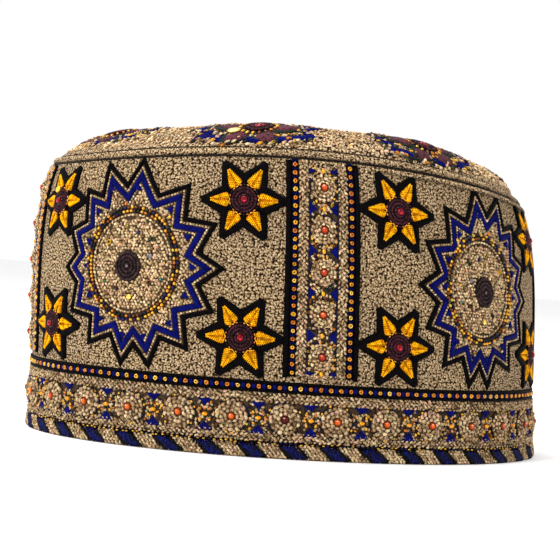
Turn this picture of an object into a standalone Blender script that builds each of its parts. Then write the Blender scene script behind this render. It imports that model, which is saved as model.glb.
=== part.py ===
"""Embroidered oval cap: a stiff cloth wall, a domed crown and raised stitched ornament.

The cap stands on its hem at z = 0. X runs along its long axis, -Y is its front and +Z is up.
Ornament is drawn flat, in millimetres across, up and out, and then laid on the wall or the crown.
"""

import math

import bmesh
import bpy
import numpy as np
from mathutils import Matrix

MM = 0.001

# Plan of the finished face at the hem.
HALF_LENGTH = 100.0
HALF_WIDTH = 78.0
OVAL_POWER = 2.05
CENTRE_SHIFT = 1.28  # keeps the middle of the whole cap's box over the origin

# Side view: the seam sits lower at the two ends and the top leans a little towards -X.
SEAM_HEIGHT = 105.1
SEAM_DROP_AT_ENDS = 8.4
SEAM_SKEW = 1.9
TOP_LEAN = 5.1
LEVEL_BELOW = 27.0
FOOT_TAPER = 1.2
FOOT_SHARE = 0.1
SHOULDER_TAPER = 6.3
SHOULDER_POWER = 6.0

# Crown above the seam.
CROWN_EDGE_OUT = -2.7
CROWN_EDGE_LIFT = 3.5
CROWN_RISE = 11.1
CROWN_POWER = 8.7
CROWN_SHIFT = 3.1

# Layers, measured outwards from the finished face.
CLOTH_OUT = -1.3
CLOTH_THICK = 2.2
PAD_BACK = -1.0
PAD_FACE = -0.3
CROWN_OUT = -0.6
CLOTH_FOOT = 1.5

# Hem and piping.
HEM_HEIGHT = 4.9
HEM_INNER_HEIGHT = 4.4
HEM_THICK = 1.0
HEM_INNER_OUT = -4.8
PIPING_RADIUS = 1.5
PIPING_OUT = -1.6
PIPING_LIFT = 1.9

# Border of raised rounds and the dotted line above it.
BORDER_COUNT = 30
BORDER_CENTRE = 13.9
BORDER_HALF_HEIGHT = 8.4
BORDER_PHASE = -24.8
DOTTED_LOW = 22.8
DOTTED_HIGH = 26.8

# Columns.
FRONT_STATION = -12.2
COLUMN_STEP = 137.5
COLUMN_HALF_WIDTH = 13.8
COLUMN_LOWEST = 36.3
COLUMN_PITCH = 14.72
COLUMN_ROUNDS = 5

# Medallions and flowers, as distances from the front or the back column.
PANEL_FRONT = 68.7
PANEL_BACK = 72.6
PANEL_HEIGHT = 65.4
STAR_RING_SHIFT = -1.45
STAR_RING_RADIUS = 17.0
STAR_RING_STRETCH = 1.16
FLOWER_ACROSS = 39.7
FLOWER_LOW = 41.4
FLOWER_HIGH = 89.4
FLOWER_TIP = 14.9
FLOWER_NOTCH = 9.0

# Crown ornament.
CROWN_FLOWERS = 7
CROWN_FLOWER_PHASE = -42.0
CROWN_FLOWER_REACH = 0.8
CROWN_FLOWER_TIP = 11.0
CROWN_FLOWER_NOTCH = 7.5

# Fourteen star points: direction and reach of each tip, then of the notch that follows it.
STAR_POINTS = (
    # tip_deg, tip_mm, notch_deg, notch_mm
    (-1.4, 32.0, 11.1, 23.8),
    (27.1, 32.4, 42.5, 24.4),
    (56.9, 34.0, 73.5, 26.0),
    (90.9, 38.4, 101.7, 29.4),
    (113.3, 40.6, 123.2, 30.2),
    (131.6, 37.0, 146.2, 28.2),
    (158.2, 33.6, 172.4, 27.6),
    (183.7, 32.6, 196.5, 28.0),
    (213.0, 34.4, 227.0, 28.0),
    (237.3, 36.0, 249.7, 28.3),
    (262.0, 37.2, 269.6, 29.4),
    (278.9, 37.2, 290.4, 28.2),
    (303.8, 35.6, 314.8, 26.1),
    (330.6, 32.6, 343.8, 24.5),
)

# Turned profiles: radius and height over the pad's face, from the middle outwards.
STONE_ROUND = ((0.0, 2.5), (3.9, 1.5), (5.5, 0.0))
RED_STONE = ((0.0, 2.9), (1.1, 2.6), (1.7, 1.2), (1.7, 0.9), (0.0, 0.9))

PALETTE = {
    # red, green, blue, roughness
    "ground": (0.58, 0.43, 0.27, 0.9),
    "cord": (0.62, 0.47, 0.30, 0.85),
    "hem": (0.16, 0.15, 0.20, 0.85),
    "navy": (0.03, 0.03, 0.20, 0.7),
    "yellow": (0.85, 0.45, 0.03, 0.6),
    "maroon": (0.07, 0.02, 0.03, 0.6),
    "red": (0.45, 0.01, 0.03, 0.15),
}


def oval_table(samples=7200):
    """Plan curve and its outward direction, listed by arc length from the middle of the front."""
    turn = np.linspace(-math.pi / 2, 1.5 * math.pi, samples + 1)
    cosine = np.cos(turn)
    sine = np.sin(turn)
    x = CENTRE_SHIFT + HALF_LENGTH * np.sign(cosine) * np.abs(cosine) ** (2 / OVAL_POWER)
    y = HALF_WIDTH * np.sign(sine) * np.abs(sine) ** (2 / OVAL_POWER)
    arc = np.concatenate([[0.0], np.cumsum(np.hypot(np.diff(x), np.diff(y)))])
    middle = (arc[1:] + arc[:-1]) / 2
    step = np.hypot(np.diff(x), np.diff(y))
    out_x = np.diff(y) / step
    out_y = -np.diff(x) / step
    return {"arc": arc, "x": x, "y": y, "turn": turn, "middle": middle, "out_x": out_x, "out_y": out_y}


OVAL = oval_table()
PERIMETER = float(OVAL["arc"][-1])


def around(station):
    """Plan point, outward direction and end share at an arc length from the front's middle."""
    arc = station % PERIMETER
    x = np.interp(arc, OVAL["arc"], OVAL["x"])
    y = np.interp(arc, OVAL["arc"], OVAL["y"])
    out_x = np.interp(arc, OVAL["middle"], OVAL["out_x"], period=PERIMETER)
    out_y = np.interp(arc, OVAL["middle"], OVAL["out_y"], period=PERIMETER)
    turn = np.interp(arc, OVAL["arc"], OVAL["turn"])
    return x, y, out_x, out_y, math.cos(turn)


def seam_height(end_share):
    """Height of the seam, lowest at the two ends of the oval."""
    return SEAM_HEIGHT - SEAM_DROP_AT_ENDS * end_share ** 2 - SEAM_SKEW * end_share


def taper(height):
    """How far the wall has drawn in at a height."""
    share = height / SEAM_HEIGHT
    foot = FOOT_TAPER * (1.0 - math.exp(-max(share, 0.0) / FOOT_SHARE))
    return foot + SHOULDER_TAPER * max(share, 0.0) ** SHOULDER_POWER


def wall_surface(station, height):
    """Point of the finished face at a station and a nominal height."""
    x, y, out_x, out_y, end_share = around(station)
    rise = height
    if height > LEVEL_BELOW:
        stretch = (seam_height(end_share) - LEVEL_BELOW) / (SEAM_HEIGHT - LEVEL_BELOW)
        rise = LEVEL_BELOW + (height - LEVEL_BELOW) * stretch
    inward = taper(height)
    lean = TOP_LEAN * rise / SEAM_HEIGHT
    return np.array([x - inward * out_x - lean, y - inward * out_y, rise])


def outward(surface, first, second, reach=0.05):
    """Unit normal of a surface given by two parameters."""
    across = surface(first + reach, second) - surface(first - reach, second)
    along = surface(first, second + reach) - surface(first, second - reach)
    normal = np.cross(across, along)
    return normal / np.linalg.norm(normal)


def on_wall(station, height, out):
    """Point at a distance outwards from the finished face of the wall."""
    return wall_surface(station, height) + out * outward(wall_surface, station, height)


def level_on_wall(station, height, out):
    """The same, but moved outwards level, so that the foot stays flat."""
    x, y, out_x, out_y, end_share = around(station)
    point = wall_surface(station, height)
    return point + np.array([out * out_x, out * out_y, 0.0])


def crown_middle():
    """Centre of the crown's edge ring."""
    stations = np.arange(72) * PERIMETER / 72
    return np.mean([level_on_wall(s, SEAM_HEIGHT, CROWN_EDGE_OUT) for s in stations], axis=0)


MIDDLE = crown_middle()


def crown_surface(station, reach):
    """Point of the crown's finished face; reach is 100 at the piping and 0 in the middle."""
    edge = level_on_wall(station, SEAM_HEIGHT, CROWN_EDGE_OUT)
    share = reach / 100.0
    raised = 1.0 - abs(share) ** CROWN_POWER
    point = MIDDLE + (edge - MIDDLE) * share
    return point + np.array([CROWN_SHIFT * raised, 0.0, CROWN_EDGE_LIFT + CROWN_RISE * raised])


def crown_length(station):
    """Level distance from the crown's middle to its edge."""
    edge = level_on_wall(station, SEAM_HEIGHT, CROWN_EDGE_OUT)
    return math.hypot(edge[0] - MIDDLE[0], edge[1] - MIDDLE[1])


def on_crown(station, reach, out):
    """Point at a distance outwards from the crown's finished face."""
    if reach < 1.0:
        return crown_surface(station, reach) + np.array([0.0, 0.0, out])
    normal = outward(lambda first, second: crown_surface(first, -second), station, -reach, 0.2)
    return crown_surface(station, reach) + out * normal


def lay(bm, place):
    """Move flat vertices, in millimetres across, up and out, to their place in metres."""
    for vertex in bm.verts:
        point = place(vertex.co.x, vertex.co.y, vertex.co.z)
        vertex.co = [float(value) * MM for value in point]


def weld(bm, distance=2e-6):
    """Join vertices that meet."""
    bmesh.ops.remove_doubles(bm, verts=bm.verts[:], dist=distance)


def material(name):
    """Principled material in one of the cap's colours."""
    found = bpy.data.materials.get(name)
    if found:
        return found
    red, green, blue, rough = PALETTE[name]
    made = bpy.data.materials.new(name)
    made.use_nodes = True
    made.diffuse_color = (red, green, blue, 1.0)
    shader = made.node_tree.nodes["Principled BSDF"]
    shader.inputs["Base Color"].default_value = (red, green, blue, 1.0)
    shader.inputs["Roughness"].default_value = rough
    return made


def finish(bm, name, colour, closed=True):
    """Turn a mesh under construction into a named object of the cap."""
    if closed:
        bmesh.ops.recalc_face_normals(bm, faces=bm.faces[:])
        if bm.calc_volume(signed=True) < 0:
            bmesh.ops.reverse_faces(bm, faces=bm.faces[:])
    mesh = bpy.data.meshes.new(name)
    bm.to_mesh(mesh)
    bm.free()
    mesh.shade_smooth()
    mesh.set_sharp_from_angle(angle=math.radians(35))
    mesh.materials.append(material(colour))
    made = bpy.data.objects.new(name, mesh)
    CAP.objects.link(made)
    return made


def grid(columns, rows):
    """Flat grid from 0 to 1 each way."""
    bm = bmesh.new()
    bmesh.ops.create_grid(bm, x_segments=columns, y_segments=rows, size=0.5)
    for vertex in bm.verts:
        vertex.co.x += 0.5
        vertex.co.y += 0.5
    return bm


def ring_sheet(name, colour, columns, rows, place, thick):
    """Closed sheet round the cap: rows lists its lines and place puts a row's point in space."""
    bm = grid(columns, len(rows) - 1)
    for vertex in bm.verts:
        row = rows[round(vertex.co.y * (len(rows) - 1))]
        point = place(vertex.co.x * PERIMETER + BORDER_PHASE, row)
        vertex.co = [float(value) * MM for value in point]
    weld(bm)
    made = finish(bm, name, colour, closed=False)
    solidify = made.modifiers.new("Thickness", "SOLIDIFY")
    solidify.thickness = thick * MM
    solidify.offset = -1.0
    solidify.use_even_offset = True
    return made


def turned(profile, steps):
    """Mesh turned about the outward axis from a profile of radius and height."""
    line = bpy.data.meshes.new("profile")
    points = [(radius, 0.0, height) for radius, height in profile]
    line.from_pydata(points, [(i, i + 1) for i in range(len(points) - 1)], [])
    guide = bpy.data.objects.new("profile", line)
    bpy.context.scene.collection.objects.link(guide)
    screw = guide.modifiers.new("Turn", "SCREW")
    screw.axis = "Z"
    screw.steps = steps
    screw.render_steps = steps
    screw.use_merge_vertices = True
    screw.merge_threshold = 0.0001
    graph = bpy.context.evaluated_depsgraph_get()
    mesh = bpy.data.meshes.new_from_object(guide.evaluated_get(graph))
    bpy.data.objects.remove(guide)
    bm = bmesh.new()
    bm.from_mesh(mesh)
    bmesh.ops.remove_doubles(bm, verts=bm.verts[:], dist=0.0001)
    return bm


def direction_index(vertex, steps):
    """Which of the turned steps a vertex stands on."""
    turn = math.atan2(vertex.co.y, vertex.co.x)
    return round(turn / (2 * math.pi) * steps) % steps


def reshape_rim(bm, radius, points):
    """Push the vertices at a radius to the listed outline points."""
    for vertex in bm.verts:
        if abs(math.hypot(vertex.co.x, vertex.co.y) - radius) < 0.01:
            target = points[direction_index(vertex, len(points))]
            vertex.co.x, vertex.co.y = target


def box_outline(half_width, half_height, steps):
    """Outline of a cell, listed anticlockwise from the middle of its right side."""
    across = (steps - 4) // 4
    top = [half_width * (1 - 2 * (i + 1) / (across + 1)) for i in range(across)]
    points = [(half_width, 0.0), (half_width, half_height)]
    points += [(x, half_height) for x in top]
    points += [(-half_width, half_height), (-half_width, 0.0), (-half_width, -half_height)]
    points += [(-x, -half_height) for x in top]
    points += [(half_width, -half_height)]
    return points


def raised_cell(half_width, half_height, steps):
    """One cell of a strip: a round knot with its stone, run out to a rectangle."""
    edge = 2 * max(half_width, half_height)
    profile = [(radius, height + PAD_FACE) for radius, height in STONE_ROUND]
    bm = turned(profile + [(edge, PAD_FACE)], steps)
    reshape_rim(bm, edge, box_outline(half_width, half_height, steps))
    for face in bm.faces:
        if face.normal.z < 0:
            face.normal_flip()
    return bm


def add_copy(bm, source, x, y):
    """Add a copy of a flat piece at a place."""
    mesh = bpy.data.meshes.new("copy")
    source.to_mesh(mesh)
    mesh.transform(Matrix.Translation((x, y, 0.0)))
    bm.from_mesh(mesh)
    bpy.data.meshes.remove(mesh)


def add_sheet(bm, across, up, out, columns, rows):
    """Add a flat sheet between two places across and two places up."""
    sheet = grid(columns, rows)
    for vertex in sheet.verts:
        vertex.co.x = across[0] + (across[1] - across[0]) * vertex.co.x
        vertex.co.y = up[0] + (up[1] - up[0]) * vertex.co.y
        vertex.co.z = out
    add_copy(bm, sheet, 0.0, 0.0)
    sheet.free()


def boundary(bm, keep):
    """Open edges whose two ends pass a test."""
    return [e for e in bm.edges if e.is_boundary and all(keep(v.co) for v in e.verts)]


def make_border():
    """Row of raised rounds above the hem, one closed ring."""
    pitch = PERIMETER / BORDER_COUNT
    low = BORDER_CENTRE - BORDER_HALF_HEIGHT
    high = BORDER_CENTRE + BORDER_HALF_HEIGHT
    cell = raised_cell(pitch / 2, BORDER_HALF_HEIGHT, 8)
    bm = bmesh.new()
    for index in range(BORDER_COUNT):
        add_copy(bm, cell, BORDER_PHASE + pitch * index, BORDER_CENTRE)
    cell.free()
    start = BORDER_PHASE - pitch / 2
    add_sheet(bm, (start, start + PERIMETER), (low, high), PAD_BACK, 2 * BORDER_COUNT, 2)
    bmesh.ops.remove_doubles(bm, verts=bm.verts[:], dist=0.001)
    for level in (low, high):
        edges = boundary(bm, lambda co, level=level: abs(co.y - level) < 0.01)
        bmesh.ops.bridge_loops(bm, edges=edges)
    lay(bm, on_wall)
    weld(bm)
    finish(bm, "border_strip", "ground")


def make_column(name, station):
    """Upright strip of raised rounds."""
    bm = bmesh.new()
    cell = raised_cell(COLUMN_HALF_WIDTH / 2, COLUMN_PITCH / 2, 8)
    for index in range(COLUMN_ROUNDS):
        add_copy(bm, cell, station, COLUMN_LOWEST + COLUMN_PITCH * index)
    cell.free()
    low = COLUMN_LOWEST - COLUMN_PITCH / 2
    high = low + COLUMN_PITCH * COLUMN_ROUNDS
    left = station - COLUMN_HALF_WIDTH
    right = station + COLUMN_HALF_WIDTH
    rows = 2 * COLUMN_ROUNDS
    add_sheet(bm, (left, right), (low, high), PAD_BACK, 4, rows)
    add_sheet(bm, (left, left + COLUMN_HALF_WIDTH / 2), (low, high), PAD_FACE, 1, rows)
    add_sheet(bm, (right - COLUMN_HALF_WIDTH / 2, right), (low, high), PAD_FACE, 1, rows)
    bmesh.ops.remove_doubles(bm, verts=bm.verts[:], dist=0.001)
    bmesh.ops.bridge_loops(bm, edges=boundary(bm, lambda co: True))
    lay(bm, on_wall)
    weld(bm)
    finish(bm, name, "ground")


def make_dotted_line():
    """Narrow raised line above the border."""
    ring = (
        # height, out
        (DOTTED_LOW, PAD_BACK),
        (DOTTED_LOW, PAD_FACE),
        (DOTTED_HIGH, PAD_FACE),
        (DOTTED_HIGH, PAD_BACK),
        (DOTTED_LOW, PAD_BACK),
    )
    bm = grid(2 * BORDER_COUNT, len(ring) - 1)
    for vertex in bm.verts:
        height, out = ring[round(vertex.co.y * (len(ring) - 1))]
        point = on_wall(vertex.co.x * PERIMETER + BORDER_PHASE, height, out)
        vertex.co = [float(value) * MM for value in point]
    weld(bm)
    finish(bm, "dotted_line", "navy")


def star_outline(mirror):
    """Outline of the star, tips and notches in turn, as flat points."""
    points = []
    for tip_deg, tip_mm, notch_deg, notch_mm in STAR_POINTS:
        for degrees, reach in ((tip_deg, tip_mm), (notch_deg, notch_mm)):
            turn = math.radians(degrees)
            points.append((reach * math.cos(turn) - STAR_RING_SHIFT, reach * math.sin(turn)))
    if mirror:
        flipped = [(-x, y) for x, y in points]
        half = len(flipped) // 2
        points = [flipped[(half - i) % len(flipped)] for i in range(len(flipped))]
    return points


def make_medallion(name, station, mirror):
    """Star pad with a raised bead ring and a padded disc in the middle."""
    rim = 50.0
    ring = STAR_RING_RADIUS
    profile = ((0.0, 0.6), (5.2, PAD_FACE), (ring - 1.6, PAD_FACE), (ring, 0.6), (ring + 1.8, PAD_FACE))
    back = ((rim, PAD_FACE), (rim, PAD_BACK), (26.0, PAD_BACK), (17.0, PAD_BACK), (8.5, PAD_BACK), (0.0, PAD_BACK))
    bm = turned(profile + back, 2 * len(STAR_POINTS))
    for vertex in bm.verts:
        if math.hypot(vertex.co.x, vertex.co.y) < rim - 1:
            vertex.co.y *= STAR_RING_STRETCH
    reshape_rim(bm, rim, star_outline(mirror))
    shift = -STAR_RING_SHIFT if mirror else STAR_RING_SHIFT
    lay(bm, lambda x, y, out: on_wall(station + shift + x, PANEL_HEIGHT + y, out))
    finish(bm, name, "navy")


def petal_outline(tip, notch):
    """Outline of a six-petalled flower, tips and notches in turn."""
    reach = [tip, notch] * 6
    turns = [math.radians(30 * i) for i in range(12)]
    return [(r * math.cos(t), r * math.sin(t)) for r, t in zip(reach, turns)]


def make_flower(name, station, height):
    """Flower pad on the wall with a raised round centre."""
    rim = 30.0
    profile = ((0.0, 0.6), (4.4, -0.1), (rim, -0.1), (rim, PAD_BACK), (7.5, PAD_BACK), (0.0, PAD_BACK))
    bm = turned(profile, 12)
    reshape_rim(bm, rim, petal_outline(FLOWER_TIP, FLOWER_NOTCH))
    lay(bm, lambda x, y, out: on_wall(station + x, height + y, out))
    finish(bm, name, "yellow")


def make_stone(name, station, height):
    """Domed stone seated on a flower."""
    bm = turned(RED_STONE, 6)
    lay(bm, lambda x, y, out: on_wall(station + x, height + y, out))
    finish(bm, name, "red")


def make_crown_flower(name, station):
    """Maroon flower on the crown with its stone."""
    rim = 30.0
    profile = ((0.0, 2.4), (1.8, 1.4), (rim, 0.4), (rim, -0.3), (5.5, -0.3), (0.0, -0.3))
    bm = turned(profile, 12)
    reshape_rim(bm, rim, petal_outline(CROWN_FLOWER_TIP, CROWN_FLOWER_NOTCH))
    length = crown_length(station)
    centre = 100.0 * CROWN_FLOWER_REACH

    def place(x, y, out):
        reach = centre - 100.0 * y / length
        return on_crown(station + x / CROWN_FLOWER_REACH, reach, out)

    lay(bm, place)
    finish(bm, name, "maroon")


def make_crown_medallion():
    """Round ornament in the middle of the crown."""
    rim = 60.0
    profile = ((0.0, 1.0), (6.0, 0.0), (15.5, 0.0), (17.0, 0.9), (18.5, 0.0), (rim, 0.0), (rim, -0.3), (0.0, -0.3))
    bm = turned(profile, 16)
    outline = []
    for index in range(16):
        reach = 27.0 if index % 2 == 0 else 22.0
        turn = 2 * math.pi * index / 16
        outline.append((reach * math.cos(turn), reach * math.sin(turn)))
    reshape_rim(bm, rim, outline)

    def place(x, y, out):
        station = (math.atan2(y, x) / (2 * math.pi) + 0.25) * PERIMETER
        return on_crown(station, 100.0 * math.hypot(x, y) / crown_length(station), out)

    lay(bm, place)
    finish(bm, "crown_medallion", "navy")


def make_cloth():
    """Wall and crown shells."""
    heights = (CLOTH_FOOT, 28.0, 62.0, 86.0, SEAM_HEIGHT)
    ring_sheet("side_band", "ground", 60, heights, lambda s, z: level_on_wall(s, z, CLOTH_OUT), CLOTH_THICK)
    reaches = (100.0, 95.0, 88.0, 76.0, 40.0, 0.0)
    ring_sheet("crown_panel", "ground", 40, reaches, lambda s, r: on_crown(s, r, CROWN_OUT), CLOTH_THICK)


def make_hem():
    """Turned hem that wraps the foot of the wall."""
    rows = ((HEM_INNER_OUT, HEM_INNER_HEIGHT), (HEM_INNER_OUT, 0.0), (0.0, 0.0), (0.0, HEM_HEIGHT))
    ring_sheet("rim_hem", "hem", 60, rows, lambda s, row: level_on_wall(s, row[1], row[0]), HEM_THICK)


def make_piping():
    """Round cord in the seam between the wall and the crown."""
    count = 60
    curve = bpy.data.curves.new("crown_piping", "CURVE")
    curve.dimensions = "3D"
    spline = curve.splines.new("POLY")
    spline.points.add(count - 1)
    for index, point in enumerate(spline.points):
        place = level_on_wall(PERIMETER * index / count + BORDER_PHASE, SEAM_HEIGHT, PIPING_OUT)
        place = place + np.array([0.0, 0.0, PIPING_LIFT])
        point.co = [float(value) * MM for value in place] + [1.0]
    spline.use_cyclic_u = True
    curve.bevel_depth = PIPING_RADIUS * MM
    curve.bevel_resolution = 1
    curve.materials.append(material("cord"))
    made = bpy.data.objects.new("crown_piping", curve)
    CAP.objects.link(made)


def panel_stations():
    """Middle of each medallion panel and whether its star is the mirrored one."""
    back = FRONT_STATION + PERIMETER / 2
    front_left = FRONT_STATION - PANEL_FRONT
    front_right = FRONT_STATION + PANEL_FRONT
    return ((front_left, False), (front_right, True), (back - PANEL_BACK, False), (back + PANEL_BACK, True))


def make_panels():
    """Medallions with their flowers and stones."""
    number = 0
    for panel, (station, mirror) in enumerate(panel_stations(), start=1):
        make_medallion(f"medallion_{panel}", station, mirror)
        for side in (-1, 1):
            for height in (FLOWER_LOW, FLOWER_HIGH):
                number += 1
                place = station + side * FLOWER_ACROSS
                make_flower(f"flower_{number}", place, height)
                make_stone(f"flower_stone_{number}", place, height)


def make_columns():
    """Columns at the front, the two ends and the back."""
    make_column("column_front", FRONT_STATION)
    make_column("column_right", FRONT_STATION + COLUMN_STEP)
    make_column("column_back", FRONT_STATION + PERIMETER / 2)
    make_column("column_left", FRONT_STATION - COLUMN_STEP)


def make_crown_ornament():
    """Flowers round the crown and the ornament in its middle."""
    for index in range(CROWN_FLOWERS):
        station = CROWN_FLOWER_PHASE + PERIMETER * index / CROWN_FLOWERS
        make_crown_flower(f"crown_flower_{index + 1}", station)
    make_crown_medallion()


for old in list(bpy.data.objects):
    bpy.data.objects.remove(old, do_unlink=True)
CAP = bpy.data.collections.new("embroidered_cap")
bpy.context.scene.collection.children.link(CAP)
make_cloth()
make_hem()
make_piping()
make_border()
make_dotted_line()
make_columns()
make_panels()
make_crown_ornament()
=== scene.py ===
"""Stitched, beaded and corded surface of an embroidered oval cap, laid over its plain solids.

Ornament is drawn flat, in millimetres across, up and out, and then laid on the wall or the crown.
Across is the distance round the wall from the middle of the front, towards +X.
"""

import math

import bpy
import numpy as np
from mathutils import Matrix, Vector


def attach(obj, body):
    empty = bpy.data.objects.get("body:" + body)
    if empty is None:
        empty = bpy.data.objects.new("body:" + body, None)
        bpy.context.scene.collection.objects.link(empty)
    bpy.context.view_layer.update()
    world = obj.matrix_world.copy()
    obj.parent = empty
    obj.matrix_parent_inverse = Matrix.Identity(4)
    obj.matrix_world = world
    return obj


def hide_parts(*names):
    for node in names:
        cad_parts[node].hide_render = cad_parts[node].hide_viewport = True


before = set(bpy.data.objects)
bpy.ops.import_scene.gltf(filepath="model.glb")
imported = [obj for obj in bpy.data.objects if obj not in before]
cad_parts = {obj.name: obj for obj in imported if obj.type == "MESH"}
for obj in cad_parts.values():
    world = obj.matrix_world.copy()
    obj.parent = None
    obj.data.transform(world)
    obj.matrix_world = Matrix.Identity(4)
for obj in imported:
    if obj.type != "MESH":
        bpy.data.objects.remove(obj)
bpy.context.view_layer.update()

bl_info = {
    "name": "Embroidered Cap Surface",
    "version": (1, 0, 0),
    "blender": (4, 5, 0),
    "location": "3D View > Sidebar > Cap",
    "description": "Stitched, beaded and corded surface of an embroidered oval cap",
    "category": "Add Mesh",
}

MM = 0.001

# Plan and side view of the finished face, as in the solids.
HALF_LENGTH = 100.0
HALF_WIDTH = 78.0
OVAL_POWER = 2.05
CENTRE_SHIFT = 1.28
SEAM_HEIGHT = 105.1
SEAM_DROP_AT_ENDS = 8.4
SEAM_SKEW = 1.9
TOP_LEAN = 5.1
LEVEL_BELOW = 27.0
FOOT_TAPER = 1.2
FOOT_SHARE = 0.1
SHOULDER_TAPER = 6.3
SHOULDER_POWER = 6.0
CROWN_EDGE_OUT = -2.7
CROWN_EDGE_LIFT = 3.5
CROWN_RISE = 11.1
CROWN_POWER = 8.7
CROWN_SHIFT = 3.1

# Where the ornament lies.
BORDER_COUNT = 30
BORDER_CENTRE = 13.9
BORDER_PHASE = -24.8
FRONT_STATION = -12.2
COLUMN_STEP = 137.5
COLUMN_LOWEST = 36.3
COLUMN_PITCH = 14.72
COLUMN_ROUNDS = 5
COLUMN_HALF = 13.7
COLUMN_LINE = 12.85
COLUMN_BAND = 10.5
COLUMN_SEAM = 5.35
PANEL_FRONT = 68.7
PANEL_BACK = 72.6
PANEL_HEIGHT = 65.4
RING_SHIFT = -1.45
RING_NUDGE = {1: 0.6, 2: -1.8}
STAR_SQUEEZE = {2: 0.91}
FLOWER_ACROSS = 39.7
FLOWER_LOW = 41.4
FLOWER_HIGH = 89.4
CROWN_FLOWERS = 7
CROWN_FLOWER_PHASE = -42.0
CROWN_FLOWER_REACH = 0.8
HEM_BARS = 38
HEM_PHASE = -21.2
HEM_LINE = 5.5
HEM_BEAD_PITCH = 1.9
BORDER_RED = 0
DOT_COUNT = 152
DOT_PHASE_SHARE = -0.1899
DOT_LEVEL = 24.8
FLOWER_WITH_SEQUIN = 2
CROWN_FLOWER_WITH_SEQUIN = 1

# How far out of the finished face the cloth lies.
WALL_FACE = -0.62
WALL_BACK = -3.5
WALL_PITCH = 1.6
CROWN_FACE = -0.6
CROWN_BACK = -2.8

# Loose knots of the crown: how many, and how far in from its edge they lie.
CROWN_KNOTS = 5200
CROWN_KNOT_EDGE = 97.5
CROWN_KNOT_DEPTH = 38.0

# The star's beaded ring and coiled hub, half across and half up.
RING_INNER = (15.2, 17.4)
RING_OUTER = (18.9, 21.4)
RING_LINE = (18.7, 21.1)
RING_CHAIN = (15.7, 17.9)
HUB_CLEAR = (5.2, 5.8)
HUB = (5.1, 5.75)
HUB_DROP = -1.0
STAR_NUDGE = {1: (-0.75, 0.3, 0.0)}
STAR_GROWTH = 0.8
TRIANGLE_TIP = 10.6
TRIANGLE_BASE = 13.0

# Jittered grids of knots, in shares of their spacing: rows apart, and how far knots stray.
ROW_SHARE = 0.87
GRID_JITTER = 0.11

# Petals, by reach from the middle and half width: on the wall the yellow and its black edge, on the
# crown the maroon, its dark edge and the part that is kept clear of knots.
LEAF = ((5.6, 2.35), (6.3, 2.75), (7.5, 2.45), (9.0, 1.85), (10.8, 1.0), (12.8, 0.0))
EDGE = ((7.7, 4.45), (9.2, 3.85), (10.9, 2.9), (12.7, 1.9), (14.2, 1.1), (15.1, 0.7))
CROWN_LEAF = ((5.4, 1.8), (7.0, 2.7), (9.0, 2.3), (11.0, 1.1), (12.4, 0.0))
CROWN_EDGE = ((6.0, 3.46), (8.0, 4.1), (10.0, 3.4), (12.0, 2.2), (13.6, 0.8))
CROWN_CLEAR = ((6.6, 3.8), (8.4, 4.9), (10.4, 4.2), (12.6, 3.0), (14.4, 1.4))

# Fourteen star points: direction and reach of each tip, then of the notch that follows it.
STAR_POINTS = (
    # tip_deg, tip_mm, notch_deg, notch_mm
    (-1.4, 32.0, 11.1, 23.8),
    (27.1, 32.4, 42.5, 24.4),
    (56.9, 34.0, 73.5, 26.0),
    (90.9, 38.4, 101.7, 29.4),
    (113.3, 40.6, 123.2, 30.2),
    (131.6, 37.0, 146.2, 28.2),
    (158.2, 33.6, 172.4, 27.6),
    (183.7, 32.6, 196.5, 28.0),
    (213.0, 34.4, 227.0, 28.0),
    (237.3, 36.0, 249.7, 28.3),
    (262.0, 37.2, 269.6, 29.4),
    (278.9, 37.2, 290.4, 28.2),
    (303.8, 35.6, 314.8, 26.1),
    (330.6, 32.6, 343.8, 24.5),
)

# Single beads and sequins inside the star's ring.
SCATTERED = (
    # across, up, radius, kind, colour
    (-10.3, 7.8, 1.15, "ring", (206, 166, 50)),
    (7.6, 9.0, 1.15, "ring", (60, 66, 34)),
    (-3.1, 13.6, 0.95, "disc", (132, 112, 44)),
    (2.1, 11.3, 0.8, "bit", (24, 24, 96)),
    (6.9, 2.8, 1.05, "disc", (104, 104, 120)),
    (9.1, 6.0, 0.6, "bit", (226, 150, 130)),
    (-14.5, -1.0, 0.7, "bit", (232, 170, 150)),
    (-11.3, -6.9, 0.65, "bit", (40, 104, 60)),
    (-6.0, -9.6, 0.8, "bit", (30, 24, 34)),
    (-1.0, -12.3, 1.1, "disc", (244, 214, 92)),
    (-10.3, -11.3, 0.8, "bit", (116, 78, 40)),
    (6.9, -6.7, 1.0, "ring", (96, 62, 30)),
    (11.3, -5.5, 0.6, "bit", (60, 130, 130)),
    (12.4, 0.6, 0.55, "bit", (230, 190, 90)),
    (3.4, -3.2, 0.5, "bit", (226, 196, 150)),
    (-4.2, 21.9, 0.75, "bit", (226, 120, 40)),
    (13.6, 17.0, 0.8, "bit", (236, 190, 60)),
)

# Camera and lights: place, size and power of each light.
CAMERA_PLACE = (-0.2348, -0.7013, 0.0690)
CAMERA_YAW = -0.3169
CAMERA_PITCH = -0.0104
CAMERA_ROLL = 0.0742
CAMERA_LENS = 122.41
CAMERA_SENSOR = 36.0
LIGHT_TARGET = (0.0, 0.0, 0.05)
LIGHTS = (
    ("key", (-1.3, -0.85, 0.95), 0.5, 21.0),
    ("fill", (1.3, -0.8, 0.6), 1.0, 4.0),
    ("top", (-0.2, 0.3, 1.6), 1.0, 15.0),
)

# How much of its rise a satin line has at its shoulders.
SHOULDER = 0.75

# Order of the finishes in every piece.
KNIT, KNOT, SATIN, BEAD, STONE = range(5)


def paint(red, green, blue):
    """Linear colour from screen numbers."""
    shares = np.array([red, green, blue]) / 255.0
    linear = np.where(shares <= 0.04045, shares / 12.92, ((shares + 0.055) / 1.055) ** 2.4)
    return tuple(float(value) for value in linear)


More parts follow.
